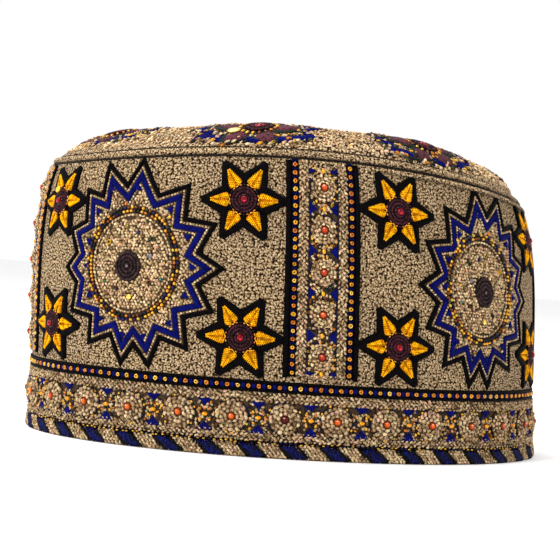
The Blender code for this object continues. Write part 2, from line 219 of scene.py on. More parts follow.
BEAD_TINTS = np.array(
    [
        paint(232, 168, 44),
        paint(196, 120, 34),
        paint(112, 64, 26),
        paint(24, 20, 26),
        paint(20, 20, 74),
        paint(58, 66, 44),
        paint(214, 176, 70),
    ]
)
STONE_TINTS = (
    paint(196, 62, 4), paint(210, 78, 10), paint(182, 44, 4), paint(216, 94, 18), paint(84, 2, 8)
)


def colour_property(label, description, red, green, blue):
    """Colour that a user may change."""
    return bpy.props.FloatVectorProperty(
        name=label,
        description=description,
        default=paint(red, green, blue),
        subtype="COLOR",
        size=3,
        min=0.0,
        max=1.0,
    )


def length_property(label, description, millimetres):
    """Length that a user may change."""
    return bpy.props.FloatProperty(
        name=label, description=description, default=millimetres * MM, unit="LENGTH", min=0.0
    )


class CapColours(bpy.types.PropertyGroup):
    """Thread and stone colours."""

    black: colour_property("Black", "Outline thread", 7, 5, 7)
    navy: colour_property("Navy", "Blue zigzags and triangles", 8, 14, 92)
    yellow: colour_property("Yellow", "Petal thread", 247, 176, 14)
    maroon: colour_property("Maroon", "Coiled centres", 60, 24, 34)
    red: colour_property("Red", "Red stones", 120, 4, 20)


class CapSizes(bpy.types.PropertyGroup):
    """Sizes of the cords, lines and stitches."""

    seam_cord: length_property("Seam cord", "Radius of the knit roll in the seam", 1.4)
    fine_cord: length_property("Fine cord", "Radius of the thin cord below the seam", 1.0)
    outline: length_property("Outline", "Width of the star's black outline", 1.65)
    zigzag: length_property("Zigzag", "Width of the star's blue line", 2.05)
    grain: length_property("Stitch", "Distance between knots of the stitched ground", 1.3)


def oval_table(samples=7200):
    """Plan curve and its outward direction, listed by arc length from the middle of the front."""
    turn = np.linspace(-math.pi / 2, 1.5 * math.pi, samples + 1)
    cosine = np.cos(turn)
    sine = np.sin(turn)
    x = CENTRE_SHIFT + HALF_LENGTH * np.sign(cosine) * np.abs(cosine) ** (2 / OVAL_POWER)
    y = HALF_WIDTH * np.sign(sine) * np.abs(sine) ** (2 / OVAL_POWER)
    step = np.hypot(np.diff(x), np.diff(y))
    arc = np.concatenate([[0.0], np.cumsum(step)])
    middle = (arc[1:] + arc[:-1]) / 2
    out_x = np.diff(y) / step
    out_y = -np.diff(x) / step
    return {
        "arc": arc, "x": x, "y": y, "turn": turn, "middle": middle, "out_x": out_x, "out_y": out_y
    }


OVAL = oval_table()
PERIMETER = float(OVAL["arc"][-1])


def around(station):
    """Plan points, outward directions and end shares at arc lengths from the front's middle."""
    arc = np.mod(station, PERIMETER)
    x = np.interp(arc, OVAL["arc"], OVAL["x"])
    y = np.interp(arc, OVAL["arc"], OVAL["y"])
    out_x = np.interp(arc, OVAL["middle"], OVAL["out_x"], period=PERIMETER)
    out_y = np.interp(arc, OVAL["middle"], OVAL["out_y"], period=PERIMETER)
    turn = np.interp(arc, OVAL["arc"], OVAL["turn"])
    return x, y, out_x, out_y, np.cos(turn)


def seam_height(end_share):
    """Height of the seam, lowest at the two ends of the oval."""
    return SEAM_HEIGHT - SEAM_DROP_AT_ENDS * end_share**2 - SEAM_SKEW * end_share


def taper(height):
    """How far the wall has drawn in at a height."""
    share = np.maximum(height / SEAM_HEIGHT, 0.0)
    foot = FOOT_TAPER * (1.0 - np.exp(-share / FOOT_SHARE))
    return foot + SHOULDER_TAPER * share**SHOULDER_POWER


def wall_surface(station, height):
    """Points of the finished face at stations and nominal heights."""
    x, y, out_x, out_y, end_share = around(station)
    stretch = (seam_height(end_share) - LEVEL_BELOW) / (SEAM_HEIGHT - LEVEL_BELOW)
    rise = np.where(height > LEVEL_BELOW, LEVEL_BELOW + (height - LEVEL_BELOW) * stretch, height)
    inward = taper(height)
    lean = TOP_LEAN * rise / SEAM_HEIGHT
    return np.stack([x - inward * out_x - lean, y - inward * out_y, rise], axis=-1)


def outward(surface, first, second, reach=0.05):
    """Unit normals of a surface given by two parameters."""
    across = surface(first + reach, second) - surface(first - reach, second)
    along = surface(first, second + reach) - surface(first, second - reach)
    normal = np.cross(across, along)
    return normal / np.linalg.norm(normal, axis=-1, keepdims=True)


def on_wall(flat):
    """Places of flat points laid on the wall."""
    station, height, out = flat.T
    return wall_surface(station, height) + out[:, None] * outward(wall_surface, station, height)


def level_on_wall(flat):
    """The same, but moved outwards level, so that a foot or a rim stays flat."""
    station, height, out = flat.T
    _, _, out_x, out_y, _ = around(station)
    shift = np.stack([out * out_x, out * out_y, np.zeros(len(out))], axis=-1)
    return wall_surface(station, height) + shift


def crown_edge(station):
    """Points of the crown's edge ring."""
    station = np.asarray(station, dtype=float)
    flat = np.stack(
        [station, np.full(station.shape, SEAM_HEIGHT), np.full(station.shape, CROWN_EDGE_OUT)], -1
    )
    return level_on_wall(flat)


CROWN_MIDDLE = np.mean(crown_edge(np.arange(72) * PERIMETER / 72), axis=0)


def crown_surface(station, reach):
    """Points of the crown's finished face; reach is 100 at the cord and 0 in the middle."""
    share = reach / 100.0
    raised = 1.0 - np.abs(share) ** CROWN_POWER
    point = CROWN_MIDDLE + (crown_edge(station) - CROWN_MIDDLE) * share[:, None]
    lift = np.stack([CROWN_SHIFT * raised, 0.0 * raised, CROWN_EDGE_LIFT + CROWN_RISE * raised], -1)
    return point + lift


def crown_length(station):
    """Level distance from the crown's middle to its edge."""
    edge = crown_edge(station) - CROWN_MIDDLE
    return np.hypot(edge[:, 0], edge[:, 1])


def on_crown(flat):
    """Places of points given by station, reach and height over the crown."""
    station, reach, out = flat.T
    flipped = outward(
        lambda first, second: crown_surface(first, -second), station, -np.maximum(reach, 1.0), 0.2
    )
    return crown_surface(station, reach) + out[:, None] * flipped


def crown_plan(flat):
    """Places of points given by level distances across and up from the crown's middle."""
    across, up, out = flat.T
    station = (np.arctan2(up, across) / (2 * math.pi) + 0.25) * PERIMETER
    reach = 100.0 * np.hypot(across, up) / crown_length(station)
    return on_crown(np.stack([station, reach, out], -1))


def crown_local(centre_station):
    """Laying function for a motif centred at a station of the crown's flower ring."""
    length = float(crown_length(np.array([centre_station]))[0])

    def place(flat):
        across, up, out = flat.T
        station = centre_station + across / CROWN_FLOWER_REACH
        reach = 100.0 * CROWN_FLOWER_REACH - 100.0 * up / length
        return on_crown(np.stack([station, reach, out], -1))

    return place


def wall_local(station, height):
    """Laying function for a motif centred at a place on the wall."""
    return lambda flat: on_wall(flat + np.array([station, height, 0.0]))


class Shape:
    """Flat points and faces, in millimetres, gathered for one piece."""

    def __init__(self):
        self.points = []
        self.tints = []
        self.runs = []
        self.loops = []
        self.sizes = []
        self.slots = []
        self.corners = []
        self.count = 0
        self.base = 0

    def add(self, points, faces, tint, slot=0, runs=None, corners=None, share=False):
        """Add points and faces that all have the same number of corners."""
        points = np.asarray(points, dtype=float)
        faces = np.asarray(faces, dtype=np.int64)
        if not share:
            self.points.append(points)
            self.tints.append(np.broadcast_to(np.asarray(tint, dtype=float), (len(points), 3)))
            self.runs.append(np.zeros((len(points), 2)) if runs is None else runs)
            self.base = self.count
            self.count += len(points)
        self.loops.append(faces.ravel() + self.base)
        self.sizes.append(np.full(len(faces), faces.shape[1]))
        self.slots.append(np.full(len(faces), slot))
        self.corners.append(points[faces.ravel(), :2] if corners is None else corners)

    def band(self, tracks, tint, slot=0, ring=False, tube=True, turn=0.0):
        """Add a grid of parallel tracks; a ring closes along them and a tube closes across them."""
        tracks = np.asarray(tracks, dtype=float)
        rows, steps = tracks.shape[:2]
        points = tracks.reshape(-1, 3)
        row = np.arange(rows if tube else rows - 1)[:, None]
        step = np.arange(steps if ring else steps - 1)[None, :]
        grid_rows = np.stack([row, row, row + 1, row + 1], -1)
        grid_steps = np.stack([step, step + 1, step + 1, step], -1)
        grid_rows, grid_steps = np.broadcast_arrays(grid_rows, grid_steps)
        faces = (grid_rows % rows) * steps + grid_steps % steps
        corners = points[faces.reshape(-1), :2].copy()
        corners[:, 0] += turn * (grid_steps.reshape(-1) >= steps)
        middle = tracks[rows // 2]
        length = np.concatenate([[0.0], np.cumsum(np.linalg.norm(np.diff(middle, axis=0), axis=1))])
        runs = np.stack(np.broadcast_arrays(length[None, :], np.linspace(0, 1, rows)[:, None]), -1)
        self.add(points, faces.reshape(-1, 4), tint, slot, runs.reshape(-1, 2), corners)
        if tube and not ring:
            ends = np.arange(rows) * steps
            self.add(points, [ends[::-1]], tint, slot, share=True)
            self.add(points, [ends + steps - 1], tint, slot, share=True)

    def scatter(self, places, radii, tints, turns=0.0, slot=0, sides=6, grain=False):
        """Add many small rounded solids at once."""
        places = np.asarray(places, dtype=float).reshape(-1, 3)
        number = len(places)
        if number == 0:
            return
        form, faces = grain_form(sides) if grain else bead_form(sides)
        local = form[None] * np.broadcast_to(np.asarray(radii, dtype=float), (number, 3))[:, None]
        turns = np.broadcast_to(np.asarray(turns, dtype=float), (number,))
        cosine, sine = np.cos(turns)[:, None], np.sin(turns)[:, None]
        x = local[..., 0] * cosine - local[..., 1] * sine
        y = local[..., 0] * sine + local[..., 1] * cosine
        points = np.stack([x, y, local[..., 2]], -1) + places[:, None]
        tints = np.broadcast_to(np.asarray(tints, dtype=float), (number, 3))
        spread = np.repeat(tints, len(form), axis=0)
        runs = np.repeat(np.stack([places[:, 0], places[:, 1]], -1), len(form), axis=0)
        runs = runs + np.tile(form[:, :2], (number, 1))
        listed = (faces[None] + np.arange(number)[:, None, None] * len(form)).reshape(-1, 3)
        self.add(points.reshape(-1, 3), listed, spread, slot, runs)

    def patch(self, outline, base, top, tint, slot=0, inset=0.35, crown=0.0):
        """Add a low raised patch with a rounded edge over a convex outline."""
        outline = np.asarray(outline, dtype=float)
        middle = outline.mean(0)
        count = len(outline)
        rings = [(1.0, base), (1.0, base + 0.6 * (top - base)), (1.0 - inset, top)]
        points = [lifted(middle + (outline - middle) * share, out) for share, out in rings]
        points.append(np.array([[middle[0], middle[1], top + crown], [middle[0], middle[1], base]]))
        points = np.concatenate(points)
        step = np.arange(count)
        after = (step + 1) % count
        walls = []
        for low, high in ((0, count), (count, 2 * count)):
            walls.append(np.stack([low + step, low + after, high + after, high + step], -1))
        self.add(points, np.concatenate(walls), tint, slot, runs=points[:, :2])
        cap = np.stack([2 * count + step, 2 * count + after, np.full(count, 3 * count)], -1)
        foot = np.stack([after, step, np.full(count, 3 * count + 1)], -1)
        self.add(points, np.concatenate([cap, foot]), tint, slot, share=True)


def turned_form(rings, sides):
    """Points and triangles of a small form turned about the outward axis."""
    turn = 2 * math.pi * np.arange(sides) / sides
    points = [[0.0, 0.0, rings[0][1]]]
    for radius, out in rings[1:-1]:
        points += [[radius * math.cos(t), radius * math.sin(t), out] for t in turn]
    points.append([0.0, 0.0, rings[-1][1]])
    last = len(points) - 1
    faces = []
    for i in range(sides):
        j = (i + 1) % sides
        faces.append([0, 1 + j, 1 + i])
        for ring in range(len(rings) - 3):
            low, high = 1 + ring * sides, 1 + (ring + 1) * sides
            faces += [[low + i, low + j, high + j], [low + i, high + j, high + i]]
        top = 1 + (len(rings) - 3) * sides
        faces.append([top + i, top + j, last])
    return np.array(points), np.array(faces)


def bead_form(sides):
    """Unit bead."""
    return turned_form(((0.0, -0.6), (1.0, 0.0), (0.74, 0.68), (0.0, 1.0)), sides)


def grain_form(sides):
    """Unit knot of the stitched ground, with fewer faces than a bead."""
    return turned_form(((0.0, -0.4), (1.0, 0.0), (0.0, 1.0)), sides)


def inset_outline(outline, inward):
    """Closed anticlockwise outline moved inwards by a distance, with its corners kept sharp."""
    before = np.roll(outline, 1, 0)
    after = np.roll(outline, -1, 0)

    def left(first, second):
        step = second - first
        step = step / np.linalg.norm(step, axis=1, keepdims=True)
        return np.stack([-step[:, 1], step[:, 0]], -1)

    first = left(before, outline)
    second = left(outline, after)
    share = 1.0 + np.sum(first * second, axis=1, keepdims=True)
    return outline + inward * (first + second) / np.maximum(share, 0.12)


def dense(outline, parts):
    """Closed outline with each edge cut into equal parts."""
    after = np.roll(outline, -1, 0)
    share = np.arange(parts) / parts
    return (outline[:, None] + (after - outline)[:, None] * share[None, :, None]).reshape(-1, 2)


def spaced(outline, pitch, closed=True):
    """Points at an even pitch along a path, with the path's direction at each."""
    path = np.concatenate([outline, outline[:1]]) if closed else outline
    step = np.diff(path, axis=0)
    arc = np.concatenate([[0.0], np.cumsum(np.linalg.norm(step, axis=1))])
    count = max(int(round(arc[-1] / pitch)), 1)
    at = (np.arange(count) + 0.5) * arc[-1] / count
    x = np.interp(at, arc, path[:, 0])
    y = np.interp(at, arc, path[:, 1])
    edge = np.clip(np.searchsorted(arc, at) - 1, 0, len(step) - 1)
    return np.stack([x, y], -1), np.arctan2(step[edge, 1], step[edge, 0])


def inside(outline, points):
    """Which flat points lie inside a closed outline."""
    after = np.roll(outline, -1, 0)
    found = np.zeros(len(points), dtype=bool)
    for (x0, y0), (x1, y1) in zip(outline, after):
        crosses = (y0 > points[:, 1]) != (y1 > points[:, 1])
        rise = y1 - y0 if y1 != y0 else 1e-9
        found ^= crosses & (points[:, 0] < x0 + (points[:, 1] - y0) * (x1 - x0) / rise)
    return found


def hex_grid(low, high, spacing, rng):
    """Jittered rows of flat points in a box."""
    rows = int((high[1] - low[1]) / (spacing * ROW_SHARE)) + 1
    columns = int((high[0] - low[0]) / spacing) + 1
    row, column = np.mgrid[0:rows, 0:columns]
    x = low[0] + (column + 0.5 * (row % 2)) * spacing
    y = low[1] + row * spacing * ROW_SHARE
    points = np.stack([x.ravel(), y.ravel()], -1)
    return points + rng.normal(0.0, GRID_JITTER * spacing, points.shape)


def rotation(turn):
    """Matrix that turns flat points."""
    return np.array([[math.cos(turn), -math.sin(turn)], [math.sin(turn), math.cos(turn)]])


def lifted(flat, out):
    """Flat points at one height out of the face."""
    return np.column_stack([flat, np.full(len(flat), out)])


def track(station, height, out):
    """Points at the given stations, at one height up and one height out."""
    return np.column_stack([station, np.full(len(station), height), np.full(len(station), out)])


def circle(radius, count, stretch=1.0):
    """Flat closed outline of a circle or an upright ellipse."""
    turn = 2 * math.pi * np.arange(count) / count
    return np.stack([radius * np.cos(turn), radius * stretch * np.sin(turn)], -1)


class Wire:
    """A socket in an expression; each operator adds a Math node."""

    def __init__(self, recipe, socket):
        self.recipe = recipe
        self.socket = socket

    def _math(self, operation, first, second):
        return self.recipe.node("ShaderNodeMath", {"operation": operation}, {0: first, 1: second})

    def __add__(self, other):
        return self._math("ADD", self, other)

    def __radd__(self, other):
        return self._math("ADD", other, self)

    def __sub__(self, other):
        return self._math("SUBTRACT", self, other)

    def __rsub__(self, other):
        return self._math("SUBTRACT", other, self)

    def __mul__(self, other):
        return self._math("MULTIPLY", self, other)

    def __rmul__(self, other):
        return self._math("MULTIPLY", other, self)


class Recipe:
    """A material or a world under construction."""

    def __init__(self, name, world=None):
        self.owner = world or bpy.data.materials.new(name)
        self.owner.use_nodes = True
        self.tree = self.owner.node_tree
        self.shader = self.tree.nodes["Background" if world else "Principled BSDF"]

    def node(self, kind, settings=None, values=None, output=0):
        """Add a node: settings come first, then the values or links of its sockets."""
        made = self.tree.nodes.new(kind)
        for name, value in (settings or {}).items():
            if name == "stops":
                self._stops(made.color_ramp, value)
            else:
                setattr(made, name, value)
        for name, value in (values or {}).items():
            self.feed(made.inputs[name], value)
        return Wire(self, made.outputs[output])

    def _stops(self, ramp, stops):
        while len(ramp.elements) < len(stops):
            ramp.elements.new(0.5)
        for element, (position, colour) in zip(ramp.elements, stops):
            element.position = position
            element.color = (*colour, 1.0)

    def feed(self, socket, value):
        """Link a socket, or set it when the value is a constant."""
        if isinstance(value, Wire):
            self.tree.links.new(value.socket, socket)
        elif isinstance(value, tuple) and len(value) == 3 and socket.type == "RGBA":
            socket.default_value = (*value, 1.0)
        else:
            socket.default_value = value

    def mix(self, factor, first, second, blend="MIX"):
        """Blend two colours."""
        settings = {"data_type": "RGBA", "blend_type": blend}
        return self.node("ShaderNodeMix", settings, {0: factor, 6: first, 7: second}, 2)

    def stretch(self, wire, low, high, start=0.0, end=1.0):
        """Map one range to another, held at its ends."""
        values = {"Value": wire, "From Min": low, "From Max": high, "To Min": start, "To Max": end}
        return self.node("ShaderNodeMapRange", {"clamp": True}, values)

    def noise(self, vector, scale, detail=2.0, output=0):
        """Soft noise."""
        return self.node(
            "ShaderNodeTexNoise", {}, {"Vector": vector, "Scale": scale, "Detail": detail}, output
        )

    def bump(self, height, depth, strength=1.0):
        """Relief that is this deep, in millimetres."""
        values = {"Strength": strength, "Distance": depth * MM, "Height": height}
        return self.node("ShaderNodeBump", {}, values)

    def finish(self, **sockets):
        """Feed the shader's sockets; underscores stand for spaces."""
        for name, value in sockets.items():
            self.feed(self.shader.inputs[name.replace("_", " ")], value)
        return self.owner


def kept(name, make):
    """Material of that name, made the first time it is asked for."""
    return bpy.data.materials.get(name) or make(name)


def knit_ground(name):
    """Close ground of small looped stitches; its colour follows the loops' height, with painted
    shade darkening the holes between them and painted highlight on their tops.
    """
    recipe = Recipe(name)
    flat = recipe.node("ShaderNodeUVMap", {"uv_map": "flat"})
    wander = recipe.noise(flat, 0.45, 2.0, 1)
    turned = {"operation": "MULTIPLY_ADD"}
    moved = recipe.node("ShaderNodeVectorMath", turned, {0: wander, 1: (1.2, 1.2, 0.0), 2: flat})
    settings = {"voronoi_dimensions": "2D", "feature": "F1"}
    values = {"Vector": moved, "Scale": 1.06, "Randomness": 0.95}
    loops = recipe.node("ShaderNodeTexVoronoi", settings, values)
    shade = recipe.node("ShaderNodeTexVoronoi", settings, values, 1)
    fibre = recipe.noise(flat, 1.6, 3.0)
    height = 1.0 - loops * 0.85 + (fibre - 0.5) * 1.9
    # Painted shade and highlight over the beige thread: the ramp runs from near black in the holes
    # between the loops to light on the loop tops.
    stops = (
        (0.31, paint(8, 5, 3)),
        (0.4, paint(52, 36, 20)),
        (0.5, paint(102, 78, 50)),
        (0.62, paint(148, 122, 88)),
        (0.74, paint(186, 160, 124)),
        (0.9, paint(230, 206, 170)),
    )
    tone = recipe.node("ShaderNodeValToRGB", {"stops": stops}, {0: height})
    drift = recipe.stretch(recipe.noise(flat, 0.03, 2.0), 0.35, 0.65)
    tone = recipe.mix(
        1.0, tone, recipe.mix(drift, (1.04, 1.02, 0.96), (0.92, 0.9, 0.9)), "MULTIPLY"
    )
    speck = recipe.node("ShaderNodeSeparateColor", {}, {0: shade})
    tone = recipe.mix(
        1.0, tone, recipe.mix(speck, (0.78, 0.72, 0.68), (1.14, 1.14, 1.1)), "MULTIPLY"
    )
    # The tint multiplies in the seam rolls' painted shade and highlight; on the other knit pieces
    # it is a plain tone.
    tone = recipe.mix(1.0, tone, tinted(recipe), "MULTIPLY")
    return recipe.finish(
        Base_Color=tone,
        Roughness=recipe.stretch(height, 0.2, 1.0, 0.9, 0.6),
        Normal=recipe.bump(height, 0.9),
        Specular_IOR_Level=0.08,
    )


def tinted(recipe):
    """Colour set on the piece's points: mostly the threads' and stones' own tints, and also painted
    shade and highlight on the seam rolls and the stones.
    """
    return recipe.node("ShaderNodeAttribute", {"attribute_name": "tint"})


def knotted_thread(name):
    """Looped thread of the raised knots and cords, in the piece's own tints."""
    recipe = Recipe(name)
    place = recipe.node("ShaderNodeTexCoord", {}, {}, 3)
    fibre = recipe.noise(place, 1700.0, 2.0)
    # Painted shade: dark specks for the holes between the thread's fibres.
    pore_shade = recipe.stretch(recipe.noise(place, 1150.0, 1.0), 0.36, 0.5)
    colour = recipe.mix(
        1.0, tinted(recipe), recipe.mix(fibre, (0.62, 0.58, 0.54), (1.36, 1.34, 1.31)), "MULTIPLY"
    )
    colour = recipe.mix(
        1.0, colour, recipe.mix(pore_shade, (0.22, 0.19, 0.16), (1.06, 1.06, 1.06)), "MULTIPLY"
    )
    return recipe.finish(
        Base_Color=colour,
        Roughness=recipe.stretch(fibre, 0.3, 0.7, 0.8, 0.6),
        Normal=recipe.bump(fibre, 0.2),
        Specular_IOR_Level=0.15,
    )


def satin_thread(name):
    """Close parallel threads laid across a line, in the piece's own tints."""
    recipe = Recipe(name)
    run = recipe.node("ShaderNodeAttribute", {"attribute_name": "run"}, {}, 1)
    parts = recipe.node("ShaderNodeSeparateXYZ", {}, {0: run})
    wander = recipe.noise(run, 0.9, 1.0)
    threads = recipe.node(
        "ShaderNodeMath", {"operation": "SINE"}, {0: (parts + wander * 0.7) * (2 * math.pi / 0.7)}
    )
    place = recipe.node("ShaderNodeTexCoord", {}, {}, 3)
    fibre = recipe.noise(place, 1500.0, 2.0)
    shade = (threads * 0.5 + 0.5) * 0.5 + fibre * 0.5
    cloud = recipe.stretch(recipe.noise(place, 620.0, 1.0), 0.3, 0.6)
    colour = recipe.mix(
        1.0, tinted(recipe), recipe.mix(shade, (0.28, 0.28, 0.28), (1.66, 1.66, 1.66)), "MULTIPLY"
    )
    colour = recipe.mix(
        1.0, colour, recipe.mix(cloud, (0.55, 0.53, 0.5), (1.1, 1.1, 1.1)), "MULTIPLY"
    )
    return recipe.finish(
        Base_Color=colour,
        Roughness=recipe.stretch(shade, 0.2, 0.8, 0.75, 0.5),
        Normal=recipe.bump(shade, 0.25),
        Specular_IOR_Level=0.03,
    )


def glass_bead(name):
    """Small shiny beads, in the piece's own tints."""
    recipe = Recipe(name)
    place = recipe.node("ShaderNodeTexCoord", {}, {}, 3)
    cloud = recipe.noise(place, 900.0, 1.0)
    colour = recipe.mix(
        1.0, tinted(recipe), recipe.mix(cloud, (0.6, 0.54, 0.46), (1.35, 1.3, 1.2)), "MULTIPLY"
    )
    return recipe.finish(
        Base_Color=colour,
        Roughness=recipe.stretch(cloud, 0.3, 0.7, 0.18, 0.35),
        Metallic=0.5,
        Specular_IOR_Level=0.4,
    )


def cut_stone(name):
    """Polished coloured stone in the piece's own tints; where a stone is darker towards its foot,
    that is painted shade in the tint of its lower dome.
    """
    recipe = Recipe(name)
    place = recipe.node("ShaderNodeTexCoord", {}, {}, 3)
    cloud = recipe.noise(place, 700.0, 1.0)
    colour = recipe.mix(
        1.0, tinted(recipe), recipe.mix(cloud, (0.35, 0.3, 0.3), (1.5, 1.35, 1.2)), "MULTIPLY"
    )
    return recipe.finish(
        Base_Color=colour,
        Roughness=0.12,
        Specular_IOR_Level=0.22,
    )


def finishes():
    """The five finishes, in the order of a piece's material slots."""
    makers = {
        "knit_ground": knit_ground,
        "knotted_thread": knotted_thread,
        "satin_thread": satin_thread,
        "glass_bead": glass_bead,
        "cut_stone": cut_stone,
    }
    return [kept(name, make) for name, make in makers.items()]


def build(name, shape, place, nodes):
    """Turn a shape into a piece that stands for CAD nodes."""
    flat = np.concatenate(shape.points)
    loops = np.concatenate(shape.loops)
    sizes = np.concatenate(shape.sizes)
    mesh = bpy.data.meshes.new(name)
    mesh.vertices.add(len(flat))
    mesh.vertices.foreach_set("co", (place(flat) * MM).astype(np.float32).ravel())
    mesh.loops.add(len(loops))
    mesh.loops.foreach_set("vertex_index", loops.astype(np.int32))
    mesh.polygons.add(len(sizes))
    starts = np.concatenate([[0], np.cumsum(sizes)[:-1]])
    mesh.polygons.foreach_set("loop_start", starts.astype(np.int32))
    mesh.polygons.foreach_set("material_index", np.concatenate(shape.slots).astype(np.int32))
    tint = mesh.attributes.new("tint", "FLOAT_COLOR", "POINT")
    colours = np.concatenate([np.concatenate(shape.tints), np.ones((len(flat), 1))], axis=1)
    tint.data.foreach_set("color", colours.astype(np.float32).ravel())
    run = mesh.attributes.new("run", "FLOAT_VECTOR", "POINT")
    runs = np.concatenate([np.concatenate(shape.runs), np.zeros((len(flat), 1))], axis=1)
    run.data.foreach_set("vector", runs.astype(np.float32).ravel())
    layer = mesh.uv_layers.new(name="flat")
    layer.uv.foreach_set("vector", np.concatenate(shape.corners).astype(np.float32).ravel())
    mesh.update(calc_edges=True)
    mesh.validate()
    mesh.shade_smooth()
    for finish in finishes():
        mesh.materials.append(finish)
    piece = bpy.data.objects.new(name, mesh)
    bpy.context.scene.collection.objects.link(piece)
    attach(piece, "root")
    if nodes:
        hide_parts(*nodes)


def beige(rng, count, level=1.0):
    """Tints of single ground knots, with a few pinkish and yellowish ones."""
    base = np.array(
        [
            paint(190, 162, 124),
            paint(212, 188, 150),
            paint(166, 136, 98),
            paint(206, 168, 140),
            paint(194, 176, 130),
        ]
    )
    pick = rng.choice(len(base), count, p=(0.32, 0.28, 0.22, 0.1, 0.08))
    return base[pick] * rng.uniform(0.7, 1.15, (count, 1)) * level


def chain(shape, path, rng, pitch=1.05, radii=(0.5, 0.34, 0.5), out=-0.3, level=1.05):
    """Line of small knots along a path."""
    places, turns = spaced(np.asarray(path, dtype=float), pitch)
    count = len(places)
    size = np.array(radii) * rng.uniform(0.88, 1.12, (count, 1))
    points = lifted(places, out)
    shape.scatter(
        points, size, beige(rng, count, level), turns + rng.normal(0.35, 0.2, count), KNOT,
        grain=True
    )


def ribbon(shape, outline, near, far, tint, parts, base=-0.55, top=0.15):
    """Raised satin line between two insets of a closed outline."""
    width = far - near
    shoulder = base + SHOULDER * (top - base)
    profile = (
        (near, base),
        (near + 0.12 * width, shoulder),
        (near + 0.5 * width, top),
        (far - 0.12 * width, shoulder),
        (far, base),
    )
    tracks = []
    for inward, out in profile:
        line = dense(inset_outline(outline, inward), parts)
        tracks.append(lifted(line, out))
    shape.band(tracks, tint, SATIN, ring=True)


def bar(shape, start, end, half, tint, steps, base=-0.55, top=0.15, slot=SATIN, ring=False):
    """Raised satin bar, straight in the flat, between two points."""
    start, end = np.array(start, dtype=float), np.array(end, dtype=float)
    along = (end - start) / np.linalg.norm(end - start)
    side = np.array([-along[1], along[0]])
    share = (np.arange(steps) / steps if ring else np.linspace(0, 1, steps))[:, None]
    line = start + (end - start) * share
    shoulder = base + SHOULDER * (top - base)
    profile = ((1.0, base), (0.78, shoulder), (0.0, top), (-0.78, shoulder), (-1.0, base))
    tracks = [lifted(line + side * half * at, out) for at, out in profile]
    turn = PERIMETER if ring else 0.0
    shape.band(tracks, tint, slot, ring=ring, turn=turn)


def round_knot(shape, centre, radius, rng, stone, level=1.0, stretch=1.0):
    """Raised round of looped knots with a beaded edge and a stone in the middle."""
    u, v = centre
    dome = ((1.0, -0.6), (0.96, -0.25), (0.72, 0.3), (0.34, 0.6), (0.01, 0.65))
    tracks = [
        lifted(circle(radius * reach, 18, stretch)[::-1] + centre, out) for reach, out in dome
    ]
    shape.band(tracks, paint(70, 52, 32), KNOT, ring=True, tube=False)
    for share, out, count, size in (
        (0.36, 0.6, 8, 1.1), (0.61, 0.45, 13, 1.12), (0.85, 0.05, 17, 1.12)
    ):
        turn = 2 * math.pi * (np.arange(count) + rng.uniform()) / count + rng.normal(0, 0.04, count)
        reach = radius * share * rng.uniform(0.96, 1.04, count)
        points = np.stack(
            [u + reach * np.cos(turn), v + stretch * reach * np.sin(turn), np.full(count, out)], -1
        )
        radii = (
            np.array([size, size * 0.76, 0.72]) * rng.uniform(0.82, 1.15, (count, 1)) * radius / 6.0
        )
        shape.scatter(
            points, radii, beige(rng, count, level * 1.1),
            turn + math.pi / 2 + rng.normal(0.4, 0.6, count), KNOT, grain=True
        )
    edges = ((0.97, -0.6), (1.02, -0.12), (1.09, -0.2), (1.13, -0.6))
    tracks = [
        lifted(circle(radius * reach, 24, stretch)[::-1] + centre, out) for reach, out in edges
    ]
    shape.band(tracks[::-1], paint(24, 17, 15), KNOT, ring=True)
    count = int(radius * 3.2)
    turn = 2 * math.pi * (np.arange(count) + rng.uniform()) / count
    reach = radius * 1.05
    points = np.stack(
        [u + reach * np.cos(turn), v + stretch * reach * np.sin(turn), np.full(count, -0.1)], -1
    )
    edge = BEAD_TINTS[rng.choice((0, 2, 2, 3, 3, 4, 6), count)]
    shape.scatter(points, (0.56, 0.4, 0.5), edge, turn + math.pi / 2, KNOT, sides=5)
    rings = ((1.15, 0.7), (1.5, 1.1), (1.85, 0.7))
    rim = [lifted(circle(reach, 12) + centre, out) for reach, out in rings]
    shape.band(rim[::-1], paint(74, 40, 18), KNOT, ring=True)
    # The stone's painted shade and highlight: a dark lower dome at half its tint, a lighter smaller
    # dome on it, and a pale highlight spot to the upper left.
    shape.scatter([[u, v, 0.85]], (1.36, 1.36, 0.8), np.array(stone) * 0.5, 0.0, STONE, sides=12)
    shape.scatter(
        [[u, v + 0.1, 1.3]], (0.9, 0.9, 0.5), np.array(stone) * 1.15, 0.0, STONE, sides=10
    )
    shape.scatter(
        [[u - 0.35, v + 0.5, 1.72]], (0.3, 0.24, 0.12), paint(255, 222, 190), 0.0, STONE, sides=6
    )


def gold_dots(shape, places, rng, radius=0.82):
    """Small gold rings with a dark middle."""
    shades = np.array(
        [paint(240, 176, 44), paint(226, 150, 38), paint(212, 124, 40), paint(244, 200, 84)]
    )
    for u, v in np.asarray(places, dtype=float):
        tint = shades[rng.integers(0, len(shades))] * rng.uniform(0.8, 1.1)
        swell = rng.uniform(0.9, 1.06)
        rings = ((1.0, -0.35), (0.66, 0.3), (0.2, -0.05))
        wobble = rng.uniform(0.82, 1.14, (8, 1))
        tracks = [
            lifted(circle(radius * swell * reach, 8) * wobble + (u, v), out) for reach, out in rings
        ]
        shape.band(tracks, tint, BEAD, ring=True)
        shape.scatter([[u, v, -0.12]], (0.3, 0.3, 0.25), paint(150, 78, 24), 0.0, KNOT, sides=5)


